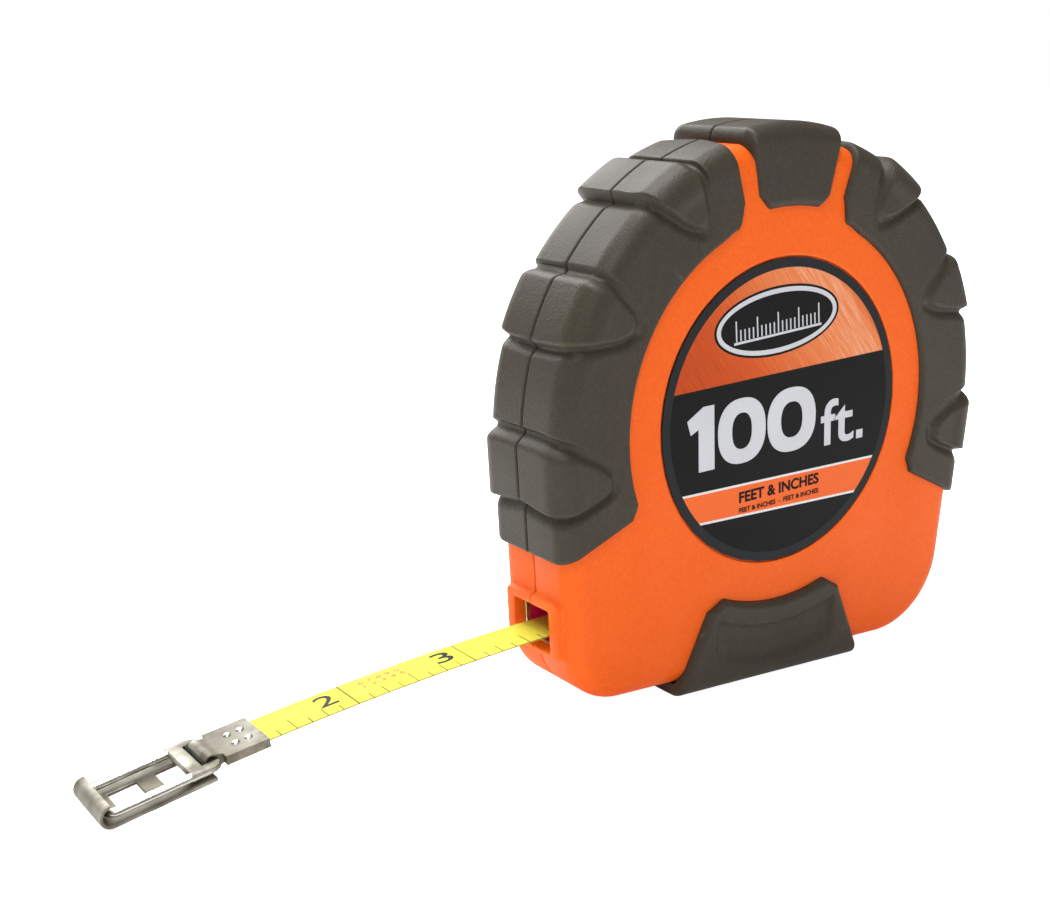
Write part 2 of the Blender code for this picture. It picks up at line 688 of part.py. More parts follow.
def end_ferrule(body):
    """A steel band crimped over the blade's end, rolled into an eye around the ring's inner bar."""
    start = FERRULE_START - RING_PIVOT_REACH
    shoulder = FERRULE_END - RING_PIVOT_REACH
    half = BLADE_THICKNESS / 2 + GAP + 0.45 * MM
    width = BLADE_WIDTH / 2 + GAP + 0.5 * MM
    eye_half = RING_HALF_WIDTH - SIDE_BAR_WIDTH / 2 - 0.6 * MM
    outline = [(start, -half), (start, half), (shoulder, half)]
    for i in range(11):
        angle = math.radians(50 + 26 * i)
        outline.append((EYE_RADIUS * -math.cos(angle), EYE_RADIUS * math.sin(angle)))
    outline.append((shoulder, -half))
    bm = bmesh.new()
    add_prism(bm, [ferrule_place(a, 0, u) for a, u in outline], (0, 1, 0), -width, width)
    piece = finished("end_ferrule", bm, "hook_nickel", body)
    bm = bmesh.new()
    eye = BAR_RADIUS + GAP
    bore = [eye * Vector((math.cos(math.pi * i / 8), math.sin(math.pi * i / 8))) for i in range(16)]
    add_prism(bm, [ferrule_place(p.x, 0, p.y) for p in bore], (0, 1, 0), -2 * width, 2 * width)
    boolean(piece, "end_ferrule_bore", bm, "DIFFERENCE")
    bm = bmesh.new()
    slot = BLADE_THICKNESS / 2 + GAP
    ends = (start - 2 * MM, shoulder - 0.5 * MM)
    corners = [(ends[0], -slot), (ends[0], slot), (ends[1], slot), (ends[1], -slot)]
    pocket = BLADE_WIDTH / 2 + GAP
    add_prism(bm, [ferrule_place(a, 0, u) for a, u in corners], (0, 1, 0), -pocket, pocket)
    boolean(piece, "end_ferrule_pocket", bm, "DIFFERENCE")
    bm = bmesh.new()
    neck = shoulder + 0.6 * MM
    corners = [(neck, -4 * MM), (neck, 4 * MM), (4 * MM, 4 * MM), (4 * MM, -4 * MM)]
    for side in (-1, 1):
        ends = sorted((side * eye_half, side * 2 * width))
        add_prism(bm, [ferrule_place(a, 0, u) for a, u in corners], (0, 1, 0), ends[0], ends[1])
    boolean(piece, "end_ferrule_neck", bm, "DIFFERENCE")
    return piece


def end_ring(body):
    """A closed loop of drawn wire with flattened side bars."""
    corner = 1.5 * MM
    middles = [(corner, 1), (RING_LENGTH - corner, 1), (RING_LENGTH - corner, -1), (corner, -1)]
    starts = [180, 90, 0, -90]
    sections = []
    for (along, sign), start in zip(middles, starts):
        centre = Vector((along, sign * (RING_HALF_WIDTH - corner)))
        for i in range(5):
            angle = math.radians(start - 22.5 * i)
            outward = Vector((math.cos(angle), math.sin(angle)))
            width = BAR_RADIUS + (SIDE_BAR_WIDTH / 2 - BAR_RADIUS) * abs(outward.y)
            ring = []
            for k in range(10):
                turn = 2 * math.pi * k / 10
                spot = centre + outward * (corner + width * math.cos(turn))
                ring.append(ring_place(spot.x, spot.y, BAR_RADIUS * math.sin(turn)))
            sections.append(ring)
    bm = bmesh.new()
    add_loft(bm, sections, loop=True)
    return finished("end_ring", bm, "hook_nickel", body)


def hook_plate(body):
    """A steel plate curled round the ring's outer bar and folded back under the ring, with two windows."""
    inner = HOOK_CURL_RADIUS - HOOK_PLATE_THICKNESS
    start = 0.6 * MM
    outline = [(start, -HOOK_CURL_RADIUS), (start, -inner)]
    steps = 11
    turns = [-90 + HOOK_CURL_ANGLE * i / steps for i in range(steps + 1)]
    for radius, order in ((inner, turns), (HOOK_CURL_RADIUS, list(reversed(turns)))):
        for degrees in order:
            angle = math.radians(degrees)
            outline.append((RING_LENGTH + radius * math.cos(angle), radius * math.sin(angle)))
    bm = bmesh.new()
    add_prism(bm, [ring_place(a, 0, u) for a, u in outline], (0, 1, 0), -HOOK_HALF_WIDTH, HOOK_HALF_WIDTH)
    piece = finished("hook_plate", bm, "hook_nickel", body)
    bm = bmesh.new()
    window = RING_HALF_WIDTH - SIDE_BAR_WIDTH / 2 - 0.6 * MM
    for low, high in ((0.12, 0.42), (0.60, 0.87)):
        ends = (low * RING_LENGTH, high * RING_LENGTH)
        corners = [(ends[0], -3 * MM), (ends[0], -1 * MM), (ends[1], -1 * MM), (ends[1], -3 * MM)]
        add_prism(bm, [ring_place(a, 0, u) for a, u in corners], (0, 1, 0), -window, window)
    boolean(piece, "hook_plate_windows", bm, "DIFFERENCE")
    return piece


def mouth_liner(body):
    """A U of sheet steel that the blade runs over, inside the mouth."""
    front = front_wall_x(MOUTH_TOP) - BEZEL_PROUD + 0.6 * MM
    back = front + 7.5 * MM
    outer = MOUTH_HALF_WIDTH - GAP
    inner = outer - LINER_THICKNESS
    bottom = MOUTH_BOTTOM + GAP
    top = MOUTH_TOP - GAP
    outline = [
        (-outer, top),
        (-outer, bottom),
        (outer, bottom),
        (outer, top),
        (inner, top),
        (inner, bottom + LINER_THICKNESS),
        (-inner, bottom + LINER_THICKNESS),
        (-inner, top),
    ]
    bm = bmesh.new()
    add_prism(bm, [Vector((0, y, z)) for y, z in outline], (1, 0, 0), front, back)
    return finished("mouth_liner", bm, "steel", body)


# ---------------------------------------------------------------- gears


def involute(angle):
    return math.tan(angle) - angle


def half_tooth(teeth, radius):
    """Half the angle of an external gear's tooth at a radius, for a 20 degree pressure angle."""
    pitch = MODULE * teeth / 2
    base = pitch * math.cos(math.radians(20))
    here = max(radius, base)
    at_pitch = math.pi / (2 * teeth) - BACKLASH / (2 * pitch)
    return at_pitch + involute(math.radians(20)) - involute(math.acos(base / here))


def tooth_outline(teeth, phase, internal=False):
    """The toothed edge of a gear as (radius, angle), four points to a tooth; a tooth is centred on phase."""
    pitch = MODULE * teeth / 2
    if internal:
        tip, root = pitch - 0.75 * MODULE, pitch + 1.25 * MODULE
    else:
        tip, root = pitch + 0.85 * MODULE, pitch - 1.25 * MODULE
    step = 2 * math.pi / teeth
    points = []
    for tooth in range(teeth):
        middle = phase + tooth * step
        flank = []
        for radius in (root, tip):
            half = half_tooth(teeth, radius)
            if internal:
                half = step / 2 - half - BACKLASH / pitch
            flank.append((radius, half))
        points += [(radius, middle - half) for radius, half in flank]
        points += [(radius, middle + half) for radius, half in reversed(flank)]
    return points


def gear(name, teeth, phase, hole, low, high, body, centre=(0.0, 0.0), collar=None, internal=False):
    """A spur gear with a round hole, or with internal a ring whose outside has the radius hole."""
    edge = tooth_outline(teeth, phase, internal)
    count = len(edge)

    def teeth_ring(y):
        return [Vector((centre[0] + r * math.cos(a), y, centre[1] + r * math.sin(a))) for r, a in edge]

    def round_hole(radius, y):
        return [
            Vector((centre[0] + radius * math.cos(a), y, centre[1] + radius * math.sin(a)))
            for a in (edge[0][1] + 2 * math.pi * i / count for i in range(count))
        ]

    rings = [round_hole(hole, low), teeth_ring(low), teeth_ring(high), round_hole(hole, high)]
    if collar:
        radius, depth = collar
        rings[0:1] = [round_hole(hole, depth), round_hole(radius, depth), round_hole(radius, low)]
    bm = bmesh.new()
    add_loft(bm, rings, loop=True)
    return finished(name, bm, "gear_nylon", body)


# ---------------------------------------------------------------- crank


def hinge_circle(radius, count):
    """A circle around the folding hinge's axis."""
    centre = Vector((CRANK_HINGE_OFFSET, HINGE_DEPTH, 0))
    turns = [2 * math.pi * i / count for i in range(count)]
    return [centre + radius * Vector((math.cos(a), math.sin(a), 0)) for a in turns]


def crank_hub(body):
    """A round plate in the case's recess, with a cup that takes the folded knob and two hinge lugs."""
    bore = AXLE_BORE_RADIUS
    screw_well = 4.8 * MM
    seat = CRANK_HUB_LOW + 0.9 * MM
    rim = RECESS_RADIUS - 0.4 * MM
    profile = [
        (bore, CRANK_HUB_LOW),
        (9.0 * MM, CRANK_HUB_LOW),
        (9.0 * MM, DISC_LOW),
        (rim - 1.2 * MM, DISC_LOW),
        (rim - 1.2 * MM, DISC_LOW - 2.0 * MM),
        (rim, DISC_LOW - 2.0 * MM),
        (rim, DISC_HIGH),
        (screw_well, DISC_HIGH),
        (screw_well, seat),
        (bore, seat),
    ]
    piece = turned("crank_hub", profile, "crank_plastic", body)
    bm = bmesh.new()
    add_turned(
        bm,
        rod_profile(POCKET_RADIUS + POCKET_WALL, POCKET_FLOOR, DISC_LOW + 0.5 * MM),
        32,
        (KNOB_PLACE, 0.0),
    )
    lug_low = RUNNING + 4.1 * MM
    for side in (-1, 1):
        ends = sorted((side * lug_low, side * (lug_low + 2.2 * MM)))
        low = (CRANK_HINGE_OFFSET - 2.0 * MM, DISC_HIGH - 0.5 * MM, ends[0])
        high = (CRANK_HINGE_OFFSET + 2.0 * MM, HINGE_DEPTH + 1.9 * MM, ends[1])
        add_box(bm, low, high)
    boolean(piece, "crank_hub_adds", bm, "UNION")
    bm = bmesh.new()
    add_turned(
        bm,
        rod_profile(POCKET_RADIUS, POCKET_FLOOR + POCKET_WALL, DISC_HIGH + 3 * MM),
        32,
        (KNOB_PLACE, 0.0),
    )
    hole = 0.9 * MM + GAP
    add_prism(bm, hinge_circle(hole, 12), (0, 0, 1), -8 * MM, 8 * MM)
    boolean(piece, "crank_hub_cuts", bm, "DIFFERENCE")
    return piece


def crank_arm(body):
    """A flat arm, waisted towards its hinge barrel, with a round end over the knob."""
    barrel = 1.9 * MM
    half_root = 3.6 * MM
    end = KNOB_RADIUS + 1.5 * MM
    outline = [Vector((CRANK_HINGE_OFFSET, 0, -half_root)), Vector((CRANK_HINGE_OFFSET, 0, half_root))]
    for i in range(15):
        angle = math.radians(70 + 220 * i / 14)
        outline.append(Vector((KNOB_PLACE + end * math.cos(angle), 0, end * math.sin(angle))))
    bm = bmesh.new()
    add_prism(bm, outline, (0, 1, 0), ARM_LOW, ARM_LOW + CRANK_ARM_THICKNESS)
    piece = finished("crank_arm", bm, "crank_plastic", body)
    bm = bmesh.new()
    add_prism(bm, hinge_circle(barrel, 20), (0, 0, 1), -4.0 * MM, 4.0 * MM)
    boolean(piece, "crank_arm_barrel", bm, "UNION")
    bm = bmesh.new()
    hole = 0.9 * MM + RUNNING
    add_prism(bm, hinge_circle(hole, 20), (0, 0, 1), -8 * MM, 8 * MM)
    add_turned(
        bm,
        rod_profile(1.2 * MM + GAP, ARM_LOW - 1 * MM, ARM_LOW + CRANK_ARM_THICKNESS + 1 * MM),
        20,
        (KNOB_PLACE, 0.0),
    )
    boolean(piece, "crank_arm_holes", bm, "DIFFERENCE")
    return piece


def crank_hinge_pin(body):
    bm = bmesh.new()
    add_prism(bm, hinge_circle(0.9 * MM, 16), (0, 0, 1), -6.2 * MM, 6.2 * MM)
    return finished("crank_hinge_pin", bm, "steel", body)


# ---------------------------------------------------------------- the whole tape


def build_case():
    body = axis_empty("case_axis", (0, 0, 0))
    label_side_shell(body)
    crank_side_shell(body)
    for word, side in (("label_side", -1), ("crank_side", 1)):
        grip("front_grip_" + word, True, side, body)
        grip("rear_grip_" + word, False, side, body)
        top_pad("top_pad_" + word, side, body)
    base_pad(body)
    low = LABEL_FLOOR + GAP
    turned("label_disc", rod_profile(LABEL_RADIUS, -low - LABEL_THICKNESS, -low), "label_print", body)
    mouth_liner(body)
    gear("ring_gear", RING_TEETH, 0.0, RING_GEAR_RADIUS, GEAR_LOW, GEAR_HIGH, body, internal=True)
    axle_end = CRANK_HUB_LOW + 0.6 * MM
    thread = 1.5 * MM + GAP
    axle = [
        (0, -LABEL_FLOOR + 0.6 * MM + GAP),
        (AXLE_RADIUS, -LABEL_FLOOR + 0.6 * MM + GAP),
        (AXLE_RADIUS, axle_end),
        (thread, axle_end),
        (thread, axle_end - 6.5 * MM),
        (0, axle_end - 6.5 * MM),
    ]
    turned("drum_axle", axle, "steel", body, 24)
    washer_low = CRANK_HUB_LOW + 0.9 * MM + GAP
    washer_high = washer_low + 0.4 * MM
    turned("crank_washer", tube_profile(thread, 4.3 * MM, washer_low, washer_high), "steel", body, 24)
    head = washer_high + GAP
    screw = [
        (0, axle_end - 6.0 * MM),
        (1.5 * MM, axle_end - 6.0 * MM),
        (1.5 * MM, head),
        (3.6 * MM, head),
        (3.6 * MM, head + 1.2 * MM),
        (0, head + 1.2 * MM),
    ]
    turned("crank_retaining_screw", screw, "steel", body, 24)
    wave = tube_profile(AXLE_RADIUS + GAP, 5.4 * MM, -LABEL_BOSS_END + GAP, -DRUM_HUB_END - GAP)
    turned("drum_wave_washer", wave, "steel", body, 24)
    for number, place in enumerate(SCREW_PLACES, 1):
        seat = CASE_INSIDE - 1.6 * MM + GAP
        profile = [
            (0, -CASE_INSIDE + 2.2 * MM),
            (SCREW_RADIUS, -CASE_INSIDE + 2.2 * MM),
            (SCREW_RADIUS, seat),
            (SCREW_HEAD_RADIUS, seat),
            (SCREW_HEAD_RADIUS, seat + 1.7 * MM),
            (0, seat + 1.7 * MM),
        ]
        turned(f"case_screw_{number}", profile, "steel", body, 20, place)
    return body


def build_drum(case):
    body = axis_empty("drum_spin_axis", (0, 0, 0), case)
    bush_outer = AXLE_RADIUS + 1.3 * MM
    bm = bmesh.new()
    add_turned(bm, tube_profile(bush_outer + GAP, DRUM_HUB_RADIUS, -DRUM_HUB_END, DRUM_HUB_END), 40)
    hub = finished("drum_hub", bm, "drum_plastic", body)
    bm = bmesh.new()
    slot = (-1.5 * MM, -BLADE_WIDTH / 2, DRUM_HUB_RADIUS - 3.0 * MM)
    add_box(bm, slot, (1.5 * MM, BLADE_WIDTH / 2, DRUM_HUB_RADIUS + 1 * MM))
    boolean(hub, "drum_hub_slot", bm, "DIFFERENCE")
    bush = tube_profile(AXLE_BORE_RADIUS, bush_outer, -DRUM_HUB_END, DRUM_HUB_END)
    turned("drum_bush", bush, "bronze", body, 24)
    for word, side in (("label_side", -1), ("crank_side", 1)):
        ends = sorted((side * FLANGE_INSIDE, side * FLANGE_OUTSIDE))
        profile = tube_profile(DRUM_HUB_RADIUS + GAP, FLANGE_RADIUS, ends[0], ends[1])
        turned("drum_flange_" + word, profile, "drum_plastic", body)
    coil = tube_profile(DRUM_HUB_RADIUS + GAP, COIL_RADIUS, -BLADE_WIDTH / 2, BLADE_WIDTH / 2)
    turned("tape_coil", coil, "blade_yellow", body)
    pin = rod_profile(1.0 * MM, -BLADE_WIDTH / 2 + GAP, BLADE_WIDTH / 2 - GAP)
    turned("tape_tail_pin", pin, "steel", body, 16, (0.0, DRUM_HUB_RADIUS - 1.6 * MM))
    gear(
        "sun_gear",
        SUN_TEETH,
        0.0,
        AXLE_BORE_RADIUS,
        GEAR_LOW,
        GEAR_HIGH,
        body,
        collar=(6.2 * MM, DRUM_HUB_END + GAP),
    )


def build_crank(case):
    body = axis_empty("crank_spin_axis", (0, 0, 0), case)
    crank_hub(body)
    carrier_radius = CENTRE_DISTANCE + 3.4 * MM
    carrier = turned(
        "planet_carrier",
        tube_profile(AXLE_BORE_RADIUS, carrier_radius, CARRIER_LOW, CARRIER_HIGH),
        "steel",
        body,
    )
    holes = bmesh.new()
    for number in range(PLANET_COUNT):
        angle = math.radians(90 + 360 * number / PLANET_COUNT)
        place = (CENTRE_DISTANCE * math.cos(angle), CENTRE_DISTANCE * math.sin(angle))
        add_turned(
            holes,
            rod_profile(PLANET_PIN_RADIUS + GAP, CARRIER_LOW - 1 * MM, CARRIER_HIGH + 1 * MM),
            20,
            place,
        )
        head = GEAR_LOW - GAP
        pin = [
            (0, head - 0.6 * MM),
            (2.0 * MM, head - 0.6 * MM),
            (2.0 * MM, head),
            (PLANET_PIN_RADIUS, head),
            (PLANET_PIN_RADIUS, CARRIER_HIGH),
            (0, CARRIER_HIGH),
        ]
        turned(f"planet_pin_{number + 1}", pin, "steel", body, 20, place)
        planet_body = axis_empty(f"planet_{number + 1}_axis", (place[0], 0, place[1]), body)
        gear(
            f"planet_gear_{number + 1}",
            PLANET_TEETH,
            angle + math.pi + math.pi / PLANET_TEETH,
            PLANET_PIN_RADIUS + RUNNING,
            GEAR_LOW,
            GEAR_HIGH,
            planet_body,
            place,
        )
    boolean(carrier, "planet_carrier_holes", holes, "DIFFERENCE")
    crank_hinge_pin(body)
    fold = axis_empty("crank_fold_axis", (CRANK_HINGE_OFFSET, HINGE_DEPTH, 0), body)
    crank_arm(fold)
    pin = [
        (0, KNOB_LOW - GAP - KNOB_PIN_HEAD),
        (2.4 * MM, KNOB_LOW - GAP - KNOB_PIN_HEAD),
        (2.4 * MM, KNOB_LOW - GAP),
        (1.2 * MM, KNOB_LOW - GAP),
        (1.2 * MM, ARM_LOW + CRANK_ARM_THICKNESS),
        (0, ARM_LOW + CRANK_ARM_THICKNESS),
    ]
    turned("knob_pin", pin, "steel", fold, 20, (KNOB_PLACE, 0.0))
    spin = axis_empty("knob_spin_axis", (KNOB_PLACE, 0, 0), fold)
    chamfer = 0.7 * MM
    knob = [
        (1.2 * MM + RUNNING, KNOB_LOW),
        (KNOB_RADIUS - chamfer, KNOB_LOW),
        (KNOB_RADIUS, KNOB_LOW + chamfer),
        (KNOB_RADIUS * 0.86, (KNOB_LOW + KNOB_HIGH) / 2),
        (KNOB_RADIUS, KNOB_HIGH - chamfer),
        (KNOB_RADIUS - chamfer, KNOB_HIGH),
        (1.2 * MM + RUNNING, KNOB_HIGH),
    ]
    turned("crank_knob", knob, "crank_plastic", spin, 24, (KNOB_PLACE, 0.0))


def build_tape(case):
    blade = axis_empty("tape_pull_axis", (0, 0, 0), case)
    tape_blade(blade)
    end_ferrule(blade)
    ring = axis_empty("ring_pivot_axis", RING_PIVOT, blade)
    end_ring(ring)
    hook = axis_empty("hook_fold_axis", HOOK_PIVOT, ring)
    hook_plate(hook)


for old in list(bpy.data.objects):
    bpy.data.objects.remove(old)
case_body = build_case()
build_drum(case_body)
build_crank(case_body)
build_tape(case_body)
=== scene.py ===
import json
import math
from functools import partial

import bmesh
import bpy
import numpy as np
from mathutils import Matrix, Vector


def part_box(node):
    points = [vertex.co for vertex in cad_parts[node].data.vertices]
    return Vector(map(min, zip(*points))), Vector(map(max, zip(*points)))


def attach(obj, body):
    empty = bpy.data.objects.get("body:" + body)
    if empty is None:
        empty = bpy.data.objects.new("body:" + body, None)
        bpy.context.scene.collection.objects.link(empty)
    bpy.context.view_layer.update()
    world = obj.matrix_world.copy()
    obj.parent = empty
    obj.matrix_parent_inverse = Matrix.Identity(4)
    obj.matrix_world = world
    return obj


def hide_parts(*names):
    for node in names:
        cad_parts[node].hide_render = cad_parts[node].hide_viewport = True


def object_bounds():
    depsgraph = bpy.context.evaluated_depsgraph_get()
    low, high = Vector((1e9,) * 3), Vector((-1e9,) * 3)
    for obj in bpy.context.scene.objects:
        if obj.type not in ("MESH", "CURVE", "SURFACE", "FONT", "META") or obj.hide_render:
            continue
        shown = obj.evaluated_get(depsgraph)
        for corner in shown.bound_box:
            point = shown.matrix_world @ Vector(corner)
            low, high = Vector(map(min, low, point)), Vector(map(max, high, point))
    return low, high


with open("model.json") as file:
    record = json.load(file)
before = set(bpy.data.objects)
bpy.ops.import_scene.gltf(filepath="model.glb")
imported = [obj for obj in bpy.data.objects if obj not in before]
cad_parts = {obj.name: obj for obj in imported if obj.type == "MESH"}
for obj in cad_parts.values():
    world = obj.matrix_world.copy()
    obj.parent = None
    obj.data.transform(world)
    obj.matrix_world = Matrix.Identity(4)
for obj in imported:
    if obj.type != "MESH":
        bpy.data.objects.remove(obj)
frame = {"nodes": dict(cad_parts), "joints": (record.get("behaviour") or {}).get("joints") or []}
cad_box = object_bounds()

# ---- Case shells -------------------------------------------------------------------------
# Two injection moulded shells of orange ABS meet on the blade's mid plane. Their rims are
# rounded over to flat sides, the label side has a shallow recess for the printed disc, and
# the crank side has a raised ring round the winding disc and five screw wells.
MM = 0.001
AXLE_HEIGHT = next(j for j in frame["joints"] if j["name"] == "drum_spin")["pos_m"][2] / MM
shell_low, shell_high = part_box("label_side_shell")
HALF_WIDTH = -shell_low.y / MM
CASE_RADIUS = shell_high.x / MM
CASE_BOTTOM = shell_low.z / MM - AXLE_HEIGHT
WALL_LEAN = 4.8
FRONT_CORNER, REAR_CORNER = 13.0, 18.5
CASE_ROUND = 4.2
CASE_WALL = 2.2
SEAM_GAP = 0.15
label_low, label_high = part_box("label_disc")
LABEL_RADIUS = label_high.x / MM
BOSS_FOOT, RECESS_RADIUS = 38.4, 34.0
BOSS_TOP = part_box("crank_side_shell")[1].y / MM
RECESS_FLOOR, FLOOR_BACK = 7.81, 6.61
SMOOTH_BELOW = 34


def from_axle(x, y, z):
    """A point given in millimetres from the drum's axis, in the frame's metres."""
    return Vector((x * MM, y * MM, (z + AXLE_HEIGHT) * MM))


def srgb(red, green, blue):
    """A colour from its 0 to 255 values, for a shader."""
    parts = [c / 255 for c in (red, green, blue)]
    return [c / 12.92 if c < 0.04 else ((c + 0.055) / 1.055) ** 2.4 for c in parts] + [1.0]


def linked(name, data):
    """A new object, linked to the scene."""
    made = bpy.data.objects.new(name, data)
    bpy.context.scene.collection.objects.link(made)
    return made


def closed_mesh(name, points, faces):
    """A mesh with all its faces turned outwards."""
    mesh = bpy.data.meshes.new(name)
    mesh.from_pydata([tuple(p) for p in points], [], faces)
    work = bmesh.new()
    work.from_mesh(mesh)
    bmesh.ops.recalc_face_normals(work, faces=work.faces)
    work.to_mesh(mesh)
    work.free()
    return mesh


def evaluated_mesh(made):
    """A new mesh of what an object shows, with its modifiers applied."""
    return bpy.data.meshes.new_from_object(
        made.evaluated_get(bpy.context.evaluated_depsgraph_get()))


def shade(made, smooth_below=SMOOTH_BELOW):
    """Shades a piece smooth up to an angle in degrees."""
    made.data.shade_smooth()
    made.data.set_sharp_from_angle(angle=math.radians(smooth_below))


def finished(made, material, body, slot, smooth_below=SMOOTH_BELOW):
    """Shades a piece, gives it its material and makes it ride."""
    shade(made, smooth_below)
    made.data.materials.clear()
    made.data.materials.append(material)
    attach(made, body)
    return made


def piece(name, points, faces, material, body, slot, smooth_below=SMOOTH_BELOW):
    """A closed mesh piece that rides on a body."""
    return finished(linked(name, closed_mesh(name, points, faces)), material, body, slot, smooth_below)


def loft(rings, joined_ends=False):
    """Points and faces of a skin over rings with equal counts, capped or joined end to end."""
    count = len(rings[0])
    points = [p for ring in rings for p in ring]
    spans = len(rings) if joined_ends else len(rings) - 1
    faces = []
    for k in range(spans):
        a, b = k * count, ((k + 1) % len(rings)) * count
        faces += [(a + i, a + (i + 1) % count, b + (i + 1) % count, b + i) for i in range(count)]
    if not joined_ends:
        faces += [tuple(range(count)), tuple(range(len(points) - count, len(points)))]
    return points, faces


def arc(centre, radius, start, end, steps):
    """Points on an arc, both ends included, with its angles in degrees."""
    angles = [math.radians(start + (end - start) * i / steps) for i in range(steps + 1)]
    return [(centre[0] + radius * math.cos(a), centre[1] + radius * math.sin(a)) for a in angles]


def along(a, b, steps):
    """Points between two ends of a straight stretch."""
    return [tuple(p + (q - p) * i / steps for p, q in zip(a, b)) for i in range(1, steps)]


def corner_centre(side, radius):
    """The centre of a lower corner's arc, which touches the leaning wall and the bottom."""
    z = CASE_BOTTOM + radius
    lean = math.radians(WALL_LEAN)
    return side * (CASE_RADIUS - radius + z * math.sin(lean)) / math.cos(lean), z


def case_line(offset):
    """The case's side view, from the front wall over the top and round the bottom."""
    top = arc((0, 0), CASE_RADIUS + offset, 180 + WALL_LEAN, -WALL_LEAN, 150)
    rear = arc(corner_centre(1, REAR_CORNER), REAR_CORNER + offset, -WALL_LEAN, -90, 26)
    front = arc(corner_centre(-1, FRONT_CORNER), FRONT_CORNER + offset, -90, WALL_LEAN - 180, 26)
    bottom = along(rear[-1], front[0], 24)
    return top + along(top[-1], rear[0], 8) + rear + bottom + front + along(front[-1], top[0], 10)


def line_ring(offset, y):
    return [from_axle(x, y, z) for x, z in case_line(offset)]


def round_ring(radius, y):
    """A circle about the axle with a point opposite each point of the case line."""
    return [from_axle(x * radius / math.hypot(x, z), y, z * radius / math.hypot(x, z))
            for x, z in case_line(0)]


def rim_rings(side):
    """From the inside of the seam over the outer edge to the flat side."""
    rings = [line_ring(-CASE_WALL, side * SEAM_GAP), line_ring(-0.3, side * SEAM_GAP)]
    rings += [line_ring(-0.08, side * (SEAM_GAP + 0.08)), line_ring(0, side * (SEAM_GAP + 0.3))]
    rings += [line_ring(0, side * (HALF_WIDTH - CASE_ROUND - 0.3))]
    for offset, y in arc((-CASE_ROUND, HALF_WIDTH - CASE_ROUND), CASE_ROUND, 0, 90, 9):
        rings.append(line_ring(offset, side * y))
    return rings + [line_ring(-CASE_ROUND - 0.5, side * HALF_WIDTH)]


def node_group(name, inputs, outputs):
    """An empty shader group with its inputs as (name, kind, value), and its two end nodes."""
    tree = bpy.data.node_groups.new(name, "ShaderNodeTree")
    for label, kind, value in inputs:
        socket = tree.interface.new_socket(label, in_out="INPUT", socket_type="NodeSocket" + kind)
        socket.default_value = value
    for label, kind in outputs:
        tree.interface.new_socket(label, in_out="OUTPUT", socket_type="NodeSocket" + kind)
    return tree, tree.nodes.new("NodeGroupInput"), tree.nodes.new("NodeGroupOutput")


def wire(tree, node, links):
    """Gives a node's inputs the sockets they follow, or plain values."""
    for key, value in links.items():
        if isinstance(value, bpy.types.NodeSocket):
            tree.links.new(value, node.inputs[key])
        else:
            node.inputs[key].default_value = value


def add(tree, kind, links=(), **settings):
    """A shader node, with its settings and its inputs given as sockets or plain values."""
    node = tree.nodes.new("ShaderNode" + kind)
    for key, value in settings.items():
        setattr(node, key, value)
    wire(tree, node, dict(links))
    return node


def maths(tree, operation, a, b=0.0):
    """The output of one Math node."""
    return add(tree, "Math", {0: a, 1: b}, operation=operation).outputs[0]


def blend_colours(tree, factor, a, b):
    """The output of one colour Mix node."""
    return add(tree, "Mix", {0: factor, 6: a, 7: b}, data_type="RGBA").outputs[2]


def mapped(tree, value, low=0.0, high=1.0, to_low=0.0, to_high=1.0, **settings):
    """A value carried from one range to another."""
    return add(tree, "MapRange", {0: value, 1: low, 2: high, 3: to_low, 4: to_high}, **settings).outputs[0]


def noise(tree, place, scale, detail):
    """Smooth noise from 0 to 1."""
    return add(tree, "TexNoise", {"Vector": place, "Scale": scale, "Detail": detail}).outputs[0]


def bumped(tree, height, strength, distance):
    """The normal of a surface with a height on it."""
    return add(tree, "Bump", {"Strength": strength, "Distance": distance, "Height": height}).outputs[0]


def object_place(tree):
    """Where a point lies, in the frame's metres."""
    return add(tree, "TexCoord").outputs["Object"]


def moulded_surface_group():
    """Mottled colour, uneven gloss and fine grain, as a moulded or rolled surface has."""
    tree, start, end = node_group(
        "moulded_surface",
        (("Colour", "Color", (0.8, 0.8, 0.8, 1)), ("Mottle Colour", "Color", (0.6, 0.6, 0.6, 1)),
         ("Mottle Scale", "Float", 900.0), ("Mottle Amount", "Float", 0.5),
         ("Roughness Low", "Float", 0.4), ("Roughness High", "Float", 0.5),
         ("Grain Scale", "Float", 2500.0), ("Grain Height", "Float", 0.02)),
        (("Colour", "Color"), ("Roughness", "Float"), ("Normal", "Vector")))
    times, given, place = partial(maths, tree, "MULTIPLY"), start.outputs, object_place(tree)
    broad = noise(tree, place, 45.0, 4.0)
    both = maths(tree, "ADD", times(noise(tree, place, given["Mottle Scale"], 3.0), 0.65),
                 times(broad, 0.35))
    factor = times(mapped(tree, both, 0.36, 0.62), given["Mottle Amount"])
    grain = times(noise(tree, place, given["Grain Scale"], 2.0), given["Grain Height"])
    wire(tree, end, {
        "Colour": blend_colours(tree, factor, given["Colour"], given["Mottle Colour"]),
        "Roughness": mapped(tree, broad, 0.3, 0.7, given["Roughness Low"], given["Roughness High"]),
        "Normal": bumped(tree, grain, 1.0, 0.0005)})
    return tree


